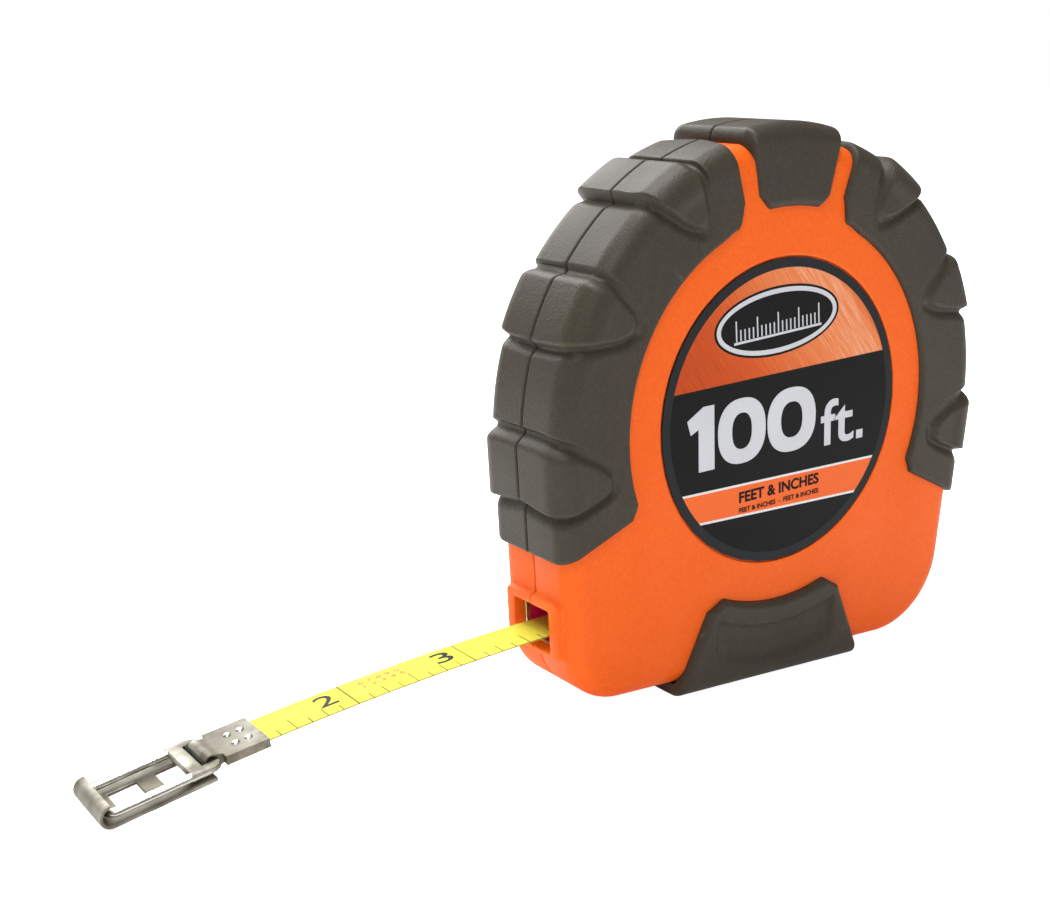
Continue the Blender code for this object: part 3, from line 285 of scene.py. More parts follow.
def edge_wear_group():
    """How far a point lies on a worn or catching edge, broken up by noise."""
    tree, start, end = node_group(
        "edge_wear", (("Width", "Float", 0.5), ("Patchiness", "Float", 160.0)), (("Mask", "Float"),))
    times = partial(maths, tree, "MULTIPLY")
    sharp = add(tree, "NewGeometry").outputs["Pointiness"]
    patches = noise(tree, object_place(tree), start.outputs["Patchiness"], 4.0)
    broken = times(mapped(tree, sharp, 0.515, 0.56), mapped(tree, patches, 0.4, 0.62))
    wire(tree, end, {"Mask": times(broken, start.outputs["Width"])})
    return tree


moulded_surface = moulded_surface_group()
edge_wear = edge_wear_group()


def new_material(name):
    """A material, its node tree and its Principled shader."""
    material = bpy.data.materials.new(name)
    material.use_nodes = True
    return material, material.node_tree, material.node_tree.nodes["Principled BSDF"]


def plain_finish(name, colour, second, mottle, roughness, grain, metallic=0.0, specular=0.5, wear=None):
    """
    A material of one substance, mottled with a second colour. mottle is a scale and an amount,
    roughness its lowest and highest, grain a scale and a height, and wear the colour of worn
    edges and how much of it shows.
    """
    material, tree, shader = new_material(name)
    skin = add(tree, "Group", node_tree=moulded_surface)
    wire(tree, skin, {"Colour": srgb(*colour), "Mottle Colour": srgb(*second)})
    labels = ("Mottle Scale", "Mottle Amount", "Roughness Low", "Roughness High", "Grain Scale",
              "Grain Height")
    wire(tree, skin, dict(zip(labels, (*mottle, *roughness, *grain))))
    shown = skin.outputs["Colour"]
    if wear:
        edges = add(tree, "Group", node_tree=edge_wear)
        edges.inputs["Width"].default_value = wear[1]
        shown = blend_colours(tree, edges.outputs["Mask"], shown, srgb(*wear[0]))
    wire(tree, shader, {"Base Color": shown, "Roughness": skin.outputs["Roughness"],
                        "Normal": skin.outputs["Normal"], "Metallic": metallic,
                        "Specular IOR Level": specular})
    return material


def cut(made, *cutters):
    """Takes cutting pieces, given as points and faces, out of a piece's mesh."""
    for points, faces in cutters:
        cutter = linked("cutter", closed_mesh("cutter", points, faces))
        step = made.modifiers.new("cut", "BOOLEAN")
        step.operation, step.solver, step.object = "DIFFERENCE", "EXACT", cutter
        result = evaluated_mesh(made)
        made.modifiers.clear()
        made.data = result
        bpy.data.objects.remove(cutter)
    shade(made)


case_orange = plain_finish(
    "case_orange_abs", (246, 102, 14), (232, 88, 8), (1500.0, 0.55), (0.42, 0.56), (2600.0, 0.16),
    specular=0.22, wear=((250, 130, 50), 0.35))

label_shell_rings = [round_ring(3, -HALF_WIDTH + CASE_WALL), round_ring(30, -HALF_WIDTH + CASE_WALL),
                     line_ring(-CASE_WALL - 2, -HALF_WIDTH + CASE_WALL),
                     line_ring(-CASE_WALL, -HALF_WIDTH + CASE_WALL + 2)]
label_shell_rings += rim_rings(-1)
label_shell_rings += [round_ring(LABEL_RADIUS + r, -HALF_WIDTH + d)
                      for r, d in ((1.0, 0.0), (0.55, 0.0), (0.36, 0.1), (0.3, 0.3), (0.3, 0.6))]
label_shell_rings.append(round_ring(3, -HALF_WIDTH + 0.6))
label_shell = piece("label_shell_skin", *loft(label_shell_rings), case_orange, "case", "case_plastic")
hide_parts("label_side_shell")

crank_shell_rings = [line_ring(-CASE_WALL - 2, HALF_WIDTH - CASE_WALL),
                     line_ring(-CASE_WALL, HALF_WIDTH - CASE_WALL - 2)]
crank_shell_rings += rim_rings(1)
crank_shell_rings += [round_ring(BOSS_FOOT + r, y) for r, y in
                      ((1.6, HALF_WIDTH), (0.9, HALF_WIDTH), (0.25, HALF_WIDTH + 0.2),
                       (0.0, HALF_WIDTH + 0.7), (-0.85, BOSS_TOP - 0.9), (-1.05, BOSS_TOP - 0.35),
                       (-1.5, BOSS_TOP))]
crank_shell_rings += [round_ring(RECESS_RADIUS + r, y) for r, y in
                      ((0.45, BOSS_TOP), (0.12, BOSS_TOP - 0.12), (0.0, BOSS_TOP - 0.45),
                       (0.0, RECESS_FLOOR))]
crank_shell_rings += [round_ring(11, RECESS_FLOOR), round_ring(11, FLOOR_BACK),
                      round_ring(RECESS_RADIUS + 2, FLOOR_BACK),
                      round_ring(RECESS_RADIUS + 2.2, HALF_WIDTH - CASE_WALL)]
crank_shell = piece("crank_shell_skin", *loft(crank_shell_rings, True), case_orange, "case",
                    "case_plastic")
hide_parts("crank_side_shell")


def round_cutter(x, z, radius, low, high, steps=40):
    """A round cutting tool along the axle's direction."""
    rings = [[from_axle(px, y, pz) for px, pz in arc((x, z), radius, 0, 360, steps)[:-1]]
             for y in (low, high)]
    return loft(rings)


SCREW_WELL_RADIUS = 3.1
WELL_FLOOR_DROP = 2.1
PAST_CASE = 16
screw_places = []
for number in range(1, 6):
    low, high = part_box(f"case_screw_{number}")
    screw_places.append(((low.x + high.x) / 2 / MM, (low.z + high.z) / 2 / MM - AXLE_HEIGHT))
    SCREW_HEAD_TOP = high.y / MM
cut(crank_shell, *[round_cutter(x, z, SCREW_WELL_RADIUS, SCREW_HEAD_TOP - WELL_FLOOR_DROP, PAST_CASE)
                   for x, z in screw_places])

# ---- Mouth -------------------------------------------------------------------------------
# The blade leaves through an opening low in the front wall. A raised frame is moulded round
# it, half on each shell, and a bent stainless liner guides the blade inside.
# each outline is its half width, then its top and its foot above the axle
MOUTH = (6.0, -35.6, -44.4)
FRAME = (9.0, -33.5, -45.6)
FRAME_PROUD, FRAME_ROOT = 1.45, -2.6


def wall_point(out, y, up):
    """A point from the place where the front wall starts to lean: outwards, across and up."""
    lean = math.radians(WALL_LEAN)
    x = -CASE_RADIUS * math.cos(lean) - out * math.cos(lean) - up * math.sin(lean)
    z = -CASE_RADIUS * math.sin(lean) - out * math.sin(lean) + up * math.cos(lean)
    return from_axle(x, y, z)


def up_wall(z):
    """How far up the leaning wall a height above the axle lies."""
    return (z + CASE_RADIUS * math.sin(math.radians(WALL_LEAN))) / math.cos(math.radians(WALL_LEAN))


def rounded_rectangle(half_width, high, low, radius, steps=7):
    """Points (y, up) round a rectangle with round corners."""
    y, top, foot = half_width - radius, high - radius, low + radius
    points = []
    for centre, start in (((y, top), 0), ((-y, top), 90), ((-y, foot), 180), ((y, foot), 270)):
        points += arc(centre, radius, start, start + 90, steps)
    return points


def wall_ring(out, outline, grow, radius, steps=7):
    """An outline on the leaning wall, grown by a margin and with round corners."""
    half_width, high, low = outline
    return [wall_point(out, y, up) for y, up in rounded_rectangle(
        half_width + grow, up_wall(high) + grow, up_wall(low) - grow, radius, steps)]


frame_rings = [wall_ring(out, FRAME, grow, radius) for out, grow, radius in
               ((-0.6, 0.5, 1.6), (0.05, 0.35, 1.6), (0.25, 0.05, 1.6), (FRAME_PROUD - 0.7, -0.1, 1.5),
                (FRAME_PROUD - 0.2, -0.3, 1.4), (FRAME_PROUD, -0.75, 1.2))]
frame_rings += [wall_ring(out, MOUTH, grow, radius) for out, grow, radius in
                ((FRAME_PROUD, 0.35, 0.8), (FRAME_PROUD - 0.15, 0.1, 0.6), (FRAME_PROUD - 0.5, 0, 0.5),
                 (FRAME_ROOT, 0, 0.5), (FRAME_ROOT, 0.9, 0.9))]
seam_slot = loft([wall_ring(out, (SEAM_GAP, -20, -60), 0, 0.05, 1) for out in (-8, 8)])
opening = loft([wall_ring(out, MOUTH, 0.5, 0.8) for out in (-4, 4)])
for shell in (label_shell, crank_shell):
    cut(shell, opening)
mouth_frame = piece("mouth_frame", *loft(frame_rings, True), case_orange, "case", "case_plastic")
cut(mouth_frame, seam_slot)

LINER_FRONT, LINER_BACK, LINER_WALL = -1.1, -6.5, 0.45


def liner_material():
    """Bare stainless at the front edge, and crimson on the walls inside, which is painted shade and
    reflection of the orange case in the mouth.
    """
    material = plain_finish(
        "liner_stainless", (196, 196, 192), (150, 150, 148), (700.0, 0.5), (0.22, 0.38), (1800.0, 0.05),
        wear=((240, 240, 236), 0.8))
    tree = material.node_tree
    shader = tree.nodes["Principled BSDF"]
    reach = add(tree, "SeparateXYZ", {0: object_place(tree)}).outputs["X"]
    front = wall_point(LINER_FRONT - 0.45, 0, up_wall(MOUTH[2])).x
    inside = mapped(tree, reach, front, front + 0.2 * MM)
    steel = shader.inputs["Base Color"].links[0].from_socket
    # painted shade and reflection: crimson on the walls inside, and not metallic there
    tree.links.new(blend_colours(tree, inside, steel, srgb(228, 16, 100)), shader.inputs["Base Color"])
    tree.links.new(maths(tree, "SUBTRACT", 1.0, inside), shader.inputs["Metallic"])
    return material


liner_rings = [wall_ring(out, MOUTH, -inset, 0.5) for out, inset in
               ((LINER_BACK, 0.02), (LINER_FRONT - 0.1, 0.02), (LINER_FRONT, 0.12),
                (LINER_FRONT, LINER_WALL - 0.12), (LINER_FRONT - 0.12, LINER_WALL),
                (LINER_BACK, LINER_WALL))]
liner = piece("mouth_sleeve", *loft(liner_rings, True), liner_material(), "case", "steel")
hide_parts("mouth_liner")

# ---- Rubber grips ------------------------------------------------------------------------
# Warm grey thermoplastic rubber moulded over both shoulders of the case, one part on each
# shell, with swollen finger pads divided by grooves. They are matt and slightly worn.
GRIP_HIGH, GRIP_LOW = 72.8, -24.7
RUBBER_RISE = 1.4
RUBBER_FACE = HALF_WIDTH + 1.1
GROOVE = 0.9
PAD_RISE_ON_FACE = 0.7
ROUND_PER_DEGREE = math.radians(1) * 57.0
GRIP_INNER, SEAM_ROUND, SKIN_BACK = 40.1, 0.5, 0.6
HOLE_ROOM, HOLE_LOW, HOLE_HIGH = 0.1, 4, 20
upper_pad = ((62.3, -6), (62.8, 14), (62.6, 18.5), (60.8, 22.5), (58.2, 23.6), (55.0, 21.6),
             (52.0, 17.0), (50.4, 12.5), (50.3, -6))
middle_pad = ((31.7, -6), (32.3, 12), (32.0, 17.5), (30.2, 22.5), (27.5, 24.2), (22.8, 21.8),
              (19.2, 15.5), (17.6, 11), (17.3, -6))
lower_pad = ((-1.3, -6), (-1.0, 10), (-2.6, 16), (-5.4, 20.4), (-9.5, 24.0), (-14.0, 23.2),
             (-15.8, 18), (-16.2, 13), (-15.4, 9), (-15.4, -6))
finger_pads = ((upper_pad, 1.6), (middle_pad, 1.1), (lower_pad, 1.3))


def smooth(x, start, end):
    """0 before start, 1 after end, with an easy change between."""
    t = np.clip((x - start) / (end - start), 0, 1)
    return t * t * (3 - 2 * t)


def pad_distance(outline, angle, s):
    """How far outside a pad's soft outline points lie, and how much its upper side is nearest."""
    softness = 0.75
    total, upward = np.zeros_like(s), np.zeros_like(s)
    for k, (a, b) in enumerate(zip(outline, outline[1:] + outline[:1])):
        dt, ds = (b[0] - a[0]) * ROUND_PER_DEGREE, b[1] - a[1]
        length = math.hypot(dt, ds)
        normal = (ds / length, -dt / length)
        inside = -((angle - a[0]) * ROUND_PER_DEGREE * normal[0] + (s - a[1]) * normal[1])
        weight = np.exp(np.clip(-inside / softness, -60, 60))
        total += weight
        upward += weight * normal[0]
    return softness * np.log(total), upward / total


def pad_relief(angle, s):
    """Height of the rubber over its plain surface: pads, and the grooves under them."""
    relief = np.zeros_like(s)
    on_face = smooth(s, 13, 18)
    for outline, rise in finger_pads:
        d, up = pad_distance(outline, angle, s)
        top = rise + (PAD_RISE_ON_FACE - rise) * on_face
        lower = top + (-GROOVE - top) * smooth(d, -0.55, 0.4)
        lower = lower + GROOVE * np.sin(np.clip((d - 0.9) / 2.3, 0, 1) * math.pi / 2)
        upper = top + (-GROOVE - top) * (1 - np.cos(np.clip((d + 1.9) / 2.6, 0, 1) * math.pi / 2))
        upper = upper + GROOVE * smooth(d, 1.6, 2.3)
        under = smooth(-up, -0.2, 0.6)
        dip = 0.3 + 0.5 * under
        face = top + (-dip - top) * smooth(d, -1.4 + 0.7 * under, 0.4) + dip * smooth(d, 0.4, 2.6)
        rim = lower + (upper - lower) * smooth(up, -0.25, 0.35)
        here = rim + (face - rim) * on_face
        relief = relief + np.where(d < 3.4, here, 0)
    return relief


def crowded(start, end, count, ends=0.16):
    """Values from start to end that crowd together near both ends."""
    t = np.linspace(0, 1, count)
    bent = t - ends * np.sin(2 * math.pi * t) / (2 * math.pi) * 5
    return start + (end - start) * np.clip(bent, 0, 1)


def wall_radius(angle, offset):
    """Distance from the axle to the case line at degrees above the horizontal."""
    past = np.clip(-angle - WALL_LEAN, 0, None)
    return (CASE_RADIUS + offset) / np.cos(np.radians(past))


def rubber_skin(angles, edge, inner, relief, face, round_over, border=1.1, rows=88, drop=None,
                end_lean=0.0, seam_gap=SEAM_GAP):
    """
    A rubber moulding wrapped over one edge of the case, as points and faces, for y > 0.
    Angles are degrees above the horizontal, towards the front. edge and inner give the rim's
    and the flat side's limits at an angle.
    """
    drop = drop or RUBBER_RISE - 0.05
    angle = np.repeat(angles[:, None], rows, axis=1)
    rim, hole = edge(angle), inner(angle)
    straight = face - round_over
    turn = round_over * math.pi / 2
    whole = straight + turn + (rim - round_over - hole)
    u = crowded(0.0, 1.0, rows)[None, :]
    s = seam_gap + (whole - seam_gap) * u
    angle = angle + end_lean * smooth(-s, -13, 0) * smooth(angle, 67, angles.max())
    swing = np.clip((s - straight) / round_over, 0, math.pi / 2)
    radius = np.where(s < straight + turn, rim - round_over + round_over * np.cos(swing),
                      rim - round_over - (s - straight - turn))
    y = np.where(s < straight, s, straight + round_over * np.sin(swing))
    spread = angles[:, None]
    end_gap = np.minimum(spread - angles.min(), angles.max() - spread) * math.radians(1) * radius
    near = np.minimum(end_gap, whole - s)
    bead = np.sqrt(np.clip(1 - (1 - np.clip(near / border, 0, 1)) ** 2, 0, 1))
    seam = np.sqrt(np.clip(1 - (1 - np.clip((s - seam_gap) / SEAM_ROUND, 0, 1)) ** 2, 0, 1))
    height = relief(angle, s) * bead - drop * (1 - bead) - SEAM_ROUND * (1 - seam) * (seam_gap > 0)
    skins = []
    for lift in (height, np.full_like(height, -drop - SKIN_BACK)):
        r = radius + lift * np.cos(swing)
        skins.append(np.stack([-r * np.cos(np.radians(angle)), y + lift * np.sin(swing),
                               r * np.sin(np.radians(angle)) + AXLE_HEIGHT], axis=2) * MM)
    columns = len(angles)
    points = np.concatenate([k.reshape(-1, 3) for k in skins])
    under = columns * rows
    faces = []
    for i in range(columns - 1):
        for j in range(rows - 1):
            a = i * rows + j
            faces.append((a, a + 1, a + rows + 1, a + rows))
            faces.append((under + a, under + a + rows, under + a + rows + 1, under + a + 1))
    border_loop = [i * rows for i in range(columns)]
    border_loop += [(columns - 1) * rows + j for j in range(1, rows)]
    border_loop += [i * rows + rows - 1 for i in range(columns - 2, -1, -1)]
    border_loop += list(range(rows - 2, 0, -1))
    for a, b in zip(border_loop, border_loop[1:] + border_loop[:1]):
        faces.append((a, b, under + b, under + a))
    return points, faces


def grip_inner(angle):
    """The grip's edge on the flat side, which runs round the label and has round corners."""
    top = 5.0 * smooth(angle, 68.6, 73.4) + 0.5 * smooth(angle, 62, 68)
    low = 2.6 * smooth(-angle, 20.5, 25.4)
    return GRIP_INNER + top + low


rubber_grey = plain_finish(
    "grip_rubber", (64, 58, 47), (51, 46, 37), (1300.0, 0.6), (0.4, 0.52), (2400.0, 0.2),
    specular=0.26, wear=((86, 79, 66), 0.5))


def mirrored(points, flip_x, flip_y):
    return points * np.array([-1 if flip_x else 1, -1 if flip_y else 1, 1])


def screw_holes(is_under):
    """Cutters for the holes through a rubber part, where a screw lies under it."""
    return [round_cutter(x, z, SCREW_WELL_RADIUS + HOLE_ROOM, HOLE_LOW, HOLE_HIGH)
            for x, z in screw_places if is_under(x, z)]


grip_angles = crowded(GRIP_HIGH, GRIP_LOW, 340, 0.08)
grip_points, grip_faces = rubber_skin(grip_angles, lambda a: wall_radius(a, RUBBER_RISE), grip_inner,
                                      pad_relief, RUBBER_FACE, 4.5, end_lean=2.6)
for end, flip_x in (("front", False), ("rear", True)):
    for side, flip_y in (("label", True), ("crank", False)):
        grip = piece(f"{end}_grip_{side}_rubber", mirrored(grip_points, flip_x, flip_y), grip_faces,
                     rubber_grey, "case", "grip_rubber", 60)
        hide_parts(f"{end}_grip_{side}_side")
        if side == "crank":
            cut(grip, *screw_holes(lambda x, z: z > 20 and (x > 5) == flip_x and abs(x) > 5))

# ---- Top pad -----------------------------------------------------------------------------
# A higher block of the same rubber bridges the top of the case between the two grips, one
# half on each shell. It has a faint crown and steps down on to the flat sides.
TOP_PAD_HALF_ANGLE = 12.7
TOP_PAD_RISE, TOP_PAD_INNER = 3.2, 41.6


def top_inner(angle):
    return TOP_PAD_INNER + 4.0 * smooth(np.abs(angle - 90), 8.6, 13.6)


def top_relief(angle, s):
    """A faint crown, and a shallow step where the block meets the flat side."""
    across = (angle - 90) / TOP_PAD_HALF_ANGLE
    return -0.35 * across ** 2 * smooth(-s, -14, -8) - 0.25 * smooth(s, 26, 30)


top_angles = crowded(90 + TOP_PAD_HALF_ANGLE, 90 - TOP_PAD_HALF_ANGLE, 90, 0.16)
top_points, top_faces = rubber_skin(
    top_angles, lambda a: np.full_like(a, CASE_RADIUS + TOP_PAD_RISE), top_inner, top_relief,
    RUBBER_FACE, 4.0, border=1.9, rows=84, drop=TOP_PAD_RISE - 0.1)
for side, flip_y in (("label", True), ("crank", False)):
    pad = piece(f"top_pad_{side}_rubber", mirrored(top_points, False, flip_y), top_faces,
                rubber_grey, "case", "grip_rubber", 60)
    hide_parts(f"top_pad_{side}_side")
    if side == "crank":
        cut(pad, *screw_holes(lambda x, z: abs(x) < 5))

# ---- Base pad ----------------------------------------------------------------------------
# The rubber foot that the reel stands on: a flat sole with a cheek up each side, which ends
# in a hollow arc round the label and has a raised rim round a sunk panel.
SOLE = AXLE_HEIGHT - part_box("base_pad")[0].z / MM
BASE_HALF_ANGLE = 24.5
BASE_ROUND, BASE_INNER = 3.6, 40.5
BASE_FACE = -cad_box[0].y / MM


def base_edge(angle):
    return (SOLE - 0.02) / np.cos(np.radians(angle + 90))


def base_inner(angle):
    return BASE_INNER + 4.2 * smooth(np.abs(angle + 90), 19.5, 25.6)


def base_relief(angle, s):
    """The sunk panel between the rim of the cheek and the edge over the sole."""
    radius = base_edge(angle) - BASE_ROUND - (s - BASE_FACE + BASE_ROUND - BASE_ROUND * math.pi / 2)
    aside = np.abs(angle + 90) * math.radians(1) * radius
    panel = smooth(radius, 45.0, 46.2) * smooth(-aside, -17.3, -15.9)
    inner = smooth(radius, 48.6, 49.6) * smooth(-aside, -14.6, -13.4)
    foot = smooth(radius, 51.5, 55)
    return -(0.9 * panel + 0.3 * inner) * (1 - foot)


base_angles = crowded(BASE_HALF_ANGLE - 90, -BASE_HALF_ANGLE - 90, 150, 0.14)
base_points, base_faces = rubber_skin(base_angles, base_edge, base_inner, base_relief, BASE_FACE,
                                      BASE_ROUND, border=1.7, rows=96, drop=2.3, seam_gap=0.0)
both_halves = np.concatenate([base_points, mirrored(base_points, False, True)])
base_faces = base_faces + [tuple(i + len(base_points) for i in f) for f in base_faces]
base_skin = piece("base_pad_rubber", both_halves, base_faces, rubber_grey, "case", "grip_rubber", 60)
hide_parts("base_pad")

# ---- Label -------------------------------------------------------------------------------
# A printed foil disc in the recess: a grey ring, a brushed copper sky, a black band with the
# length, an orange band with the units, and a black foot. The bands tilt up to the rear.
LABEL_TOP = -label_low.y / MM
RING_INSIDE = 29.9
PRINT_TILT = 3.6


def label_material():
    """The print: bands set by the lines between them, inside a dark grey ring."""
    material, tree, shader = new_material("label_print")
    times, plus, minus, most = (partial(maths, tree, kind)
                                for kind in ("MULTIPLY", "ADD", "SUBTRACT", "MAXIMUM"))
    place = object_place(tree)
    metres = add(tree, "SeparateXYZ", {0: place})
    x = times(metres.outputs["X"], 1000.0)
    z = minus(times(metres.outputs["Z"], 1000.0), AXLE_HEIGHT)

    def step(value, at, width=0.05):
        return mapped(tree, value, at - width, at + width)

    def above(a, b):
        """Height above the line through two points."""
        tilt = math.atan2(b[1] - a[1], b[0] - a[0])
        return minus(times(minus(z, a[1]), math.cos(tilt)), times(minus(x, a[0]), math.sin(tilt)))

    sky_line = above((-28.95, 6.35), (28.13, 10.61))
    band_top = above((-25.95, -14.8), (28.32, -12.71))
    band_low = above((-21.36, -21.08), (23.17, -19.98))
    # brushed copper: long fine scratches on a slant, with a painted highlight, a pale gleam across the
    # middle
    slant = math.radians(50)
    across = plus(times(x, math.sin(slant)), times(z, math.cos(slant)))
    down = minus(times(x, math.cos(slant)), times(z, math.sin(slant)))
    brushed = add(tree, "CombineXYZ", {0: times(across, 3.2), 1: times(down, 0.12)})
    scratches = noise(tree, brushed.outputs[0], 1.0, 4.0)
    painted_gleam = mapped(tree, across, -16.0, 25.0, interpolation_type="SMOOTHSTEP")
    fade = mapped(tree, across, 27.0, 32.0, 1.0, 0.35, interpolation_type="SMOOTHSTEP")
    # painted highlight on the copper foil, at half strength; the ramp's pale end shows it
    painted_highlight = times(times(painted_gleam, fade), 0.5)
    copper = add(tree, "ValToRGB", {0: plus(painted_highlight, times(scratches, 0.42))})
    ramp = copper.color_ramp
    ramp.elements[0].position, ramp.elements[0].color = 0.12, srgb(176, 62, 20)
    ramp.elements[1].position, ramp.elements[1].color = 0.96, srgb(250, 220, 196)
    ramp.elements.new(0.4).color = srgb(206, 88, 38)
    ramp.elements.new(0.68).color = srgb(228, 132, 80)
    specks = noise(tree, place, 2600.0, 2.0)
    black = blend_colours(tree, specks, srgb(6, 6, 7), srgb(17, 17, 18))
    orange = blend_colours(tree, specks, srgb(236, 100, 40), srgb(246, 116, 56))
    silver = blend_colours(tree, scratches, srgb(176, 178, 180), srgb(228, 228, 228))
    grey = blend_colours(tree, specks, srgb(26, 29, 31), srgb(40, 44, 46))
    in_sky = step(sky_line, 0)
    lines = most(*(step(times(maths(tree, "ABSOLUTE", line), -1.0), -0.24)
                   for line in (band_top, band_low)))
    rim = step(maths(tree, "SQRT", plus(times(x, x), times(z, z))), RING_INSIDE)
    shown = blend_colours(tree, in_sky, black, copper.outputs[0])
    for factor, colour in ((step(times(band_top, -1.0), 0), orange),
                           (step(times(band_low, -1.0), 0), black), (lines, silver), (rim, grey)):
        shown = blend_colours(tree, factor, shown, colour)
    wire(tree, shader, {
        "Base Color": shown,
        "Metallic": times(minus(1.0, rim), most(lines, times(in_sky, 0.2))),
        "Roughness": mapped(tree, scratches, to_low=0.3, to_high=0.5),
        "Normal": bumped(tree, specks, 0.25, 0.00003),
        "Specular IOR Level": 0.12})
    return material


frame["nodes"]["label_disc"].material_slots[0].material = label_material()
INK_THICKNESS = 0.05


def on_label(x, z):
    """A spot on the label's printed face, as a function of print coordinates."""
    turn = math.radians(PRINT_TILT)

    def place(u, v, lift):
        return from_axle(x + u * math.cos(turn) - v * math.sin(turn), -LABEL_TOP - 0.01 - lift,
                         z + u * math.sin(turn) + v * math.cos(turn))
    return place


def plate(name, outline_faces, points, place, material, body="case", slot="label_print",
          thickness=INK_THICKNESS):
    """A thin printed shape: flat faces on points (u, v), given a thickness."""
    count = len(points)
    top = [place(u, v, thickness) for u, v in points]
    foot = [place(u, v, 0.0) for u, v in points]
    faces = list(outline_faces) + [tuple(i + count for i in reversed(f)) for f in outline_faces]
    edges = dict.fromkeys((a, b) for face in outline_faces for a, b in zip(face, face[1:] + face[:1]))
    faces += [(b, a, a + count, b + count) for a, b in edges if (b, a) not in edges]
    return piece(name, top + foot, faces, material, body, slot)


# silver, black and red inks, which the label and the blade share
silver_print = plain_finish("silver_ink", (206, 208, 212), (172, 175, 180), (2600.0, 0.35),
                            (0.34, 0.46), (2500.0, 0.03), metallic=0.15)
black_print = plain_finish("black_ink", (10, 10, 11), (24, 24, 26), (1500.0, 0.5), (0.4, 0.55),
                           (2500.0, 0.04), specular=0.12)
red_print = plain_finish("red_ink", (214, 92, 40), (232, 130, 60), (1500.0, 0.5), (0.4, 0.5),
                         (2500.0, 0.04))


def zero_shape(half_width, half_height, stroke, cap, steps=72):
    """An upright bold zero, centred: points and faces."""
    def oval(a, b, power=2.35):
        spots = []
        for k in range(steps):
            t = 2 * math.pi * k / steps
            c, s = math.cos(t), math.sin(t)
            spots.append((a * math.copysign(abs(c) ** (2 / power), c),
                          b * math.copysign(abs(s) ** (2 / power), s)))
        return spots
    points = oval(half_width, half_height) + oval(half_width - stroke, half_height - cap)
    faces = [(k, (k + 1) % steps, steps + (k + 1) % steps, steps + k) for k in range(steps)]
    return faces, points


FIGURE_HEIGHT = 13.4
figure_place = on_label(-25.0, -10.3)
one = [(0.0, 11.0), (4.2, FIGURE_HEIGHT), (7.0, FIGURE_HEIGHT), (7.0, 0.0), (2.9, 0.0), (2.9, 8.9),
       (0.9, 8.0)]
plate("length_figure_one", [(0, 6, 5, 2, 1), (5, 4, 3, 2)], one, figure_place, silver_print)
for number, (centre, half_width) in enumerate(((14.35, 6.4), (28.0, 6.75))):
    faces, points = zero_shape(half_width, FIGURE_HEIGHT / 2 + 0.15, 3.75, 3.05)
    shifted = [(u + centre, v + FIGURE_HEIGHT / 2) for u, v in points]
    plate(f"length_figure_zero_{number + 1}", faces, shifted, figure_place, silver_print)


def lettering(name, text, place, width, height, material, weight, body="case", slot="label_print"):
    """Flat printed words that fill a width and height from their lower left corner."""
    curve = bpy.data.curves.new(name, "FONT")
    curve.body, curve.fill_mode, curve.offset, curve.resolution_u = text, "FRONT", weight, 6
    drawn = linked(name, curve)
    flat = evaluated_mesh(drawn)
    bpy.data.objects.remove(drawn)
    spots = [(p.co.x, p.co.y) for p in flat.vertices]
    low_u, low_v = (min(column) for column in zip(*spots))
    high_u, high_v = (max(column) for column in zip(*spots))
    wide, tall = high_u - low_u, high_v - low_v
    points = [((u - low_u) / wide * width, (v - low_v) / tall * height) for u, v in spots]
    return plate(name, [tuple(f.vertices) for f in flat.polygons], points, place, material, body, slot)


def bar(name, low_u, high_u, low_v, high_v, place, material, thickness=INK_THICKNESS):
    """A printed upright rectangle."""
    points = [(low_u, low_v), (high_u, low_v), (high_u, high_v), (low_u, high_v)]
    return plate(name, [(0, 1, 2, 3)], points, place, material, thickness=thickness)


lettering("length_unit", "ft", on_label(11.3, -8.9), 9.6, 10.0, silver_print, 0.012)
bar("length_unit_stop", 0, 1.9, 0, 1.9, on_label(21.7, -8.2), silver_print)
lettering("unit_words", "FEET & INCHES", on_label(-10.9, -18.1), 22.3, 2.4, black_print, 0.03)
lettering("unit_words_small", "FEET & INCHES  -  FEET & INCHES", on_label(-10.8, -20.2), 22.3, 1.05,
          black_print, 0.025)


BADGE_LAYER = 0.02


def badge(name, half_width, half_height, lift, material):
    """One layer of the oval badge, which carries a plain ruler mark."""
    steps = 96
    points = [(half_width * math.cos(2 * math.pi * k / steps),
               half_height * math.sin(2 * math.pi * k / steps)) for k in range(steps)]
    place = on_label(-2.8, 19.2)
    turn = math.radians(2.3)

    def tilted(u, v, height):
        return place(u * math.cos(turn) - v * math.sin(turn), u * math.sin(turn) + v * math.cos(turn),
                     height + lift)
    plate(name, [tuple(range(steps))], points, tilted, material, thickness=BADGE_LAYER)
    return tilted


badge("badge_edge", 16.9, 7.1, 0.0, black_print)
badge("badge_rim", 16.3, 6.6, BADGE_LAYER, silver_print)
badge_face = badge("badge_face", 15.2, 5.6, 2 * BADGE_LAYER, black_print)
TICK_PITCH, TICK_HALF_WIDTH, TICK_FOOT = 1.12, 0.17, -2.4


def on_badge(u, v, height):
    return badge_face(u, v, height + BADGE_LAYER)


for tick in range(-10, 11):
    tall = 4.2 if tick % 5 == 0 else 2.3
    u = tick * TICK_PITCH
    bar(f"badge_tick_{tick + 11}", u - TICK_HALF_WIDTH, u + TICK_HALF_WIDTH, TICK_FOOT, tall + TICK_FOOT,
        on_badge, silver_print, BADGE_LAYER)
bar("badge_rule", -11.9, 11.9, -3.0, -2.5, on_badge, silver_print, BADGE_LAYER)

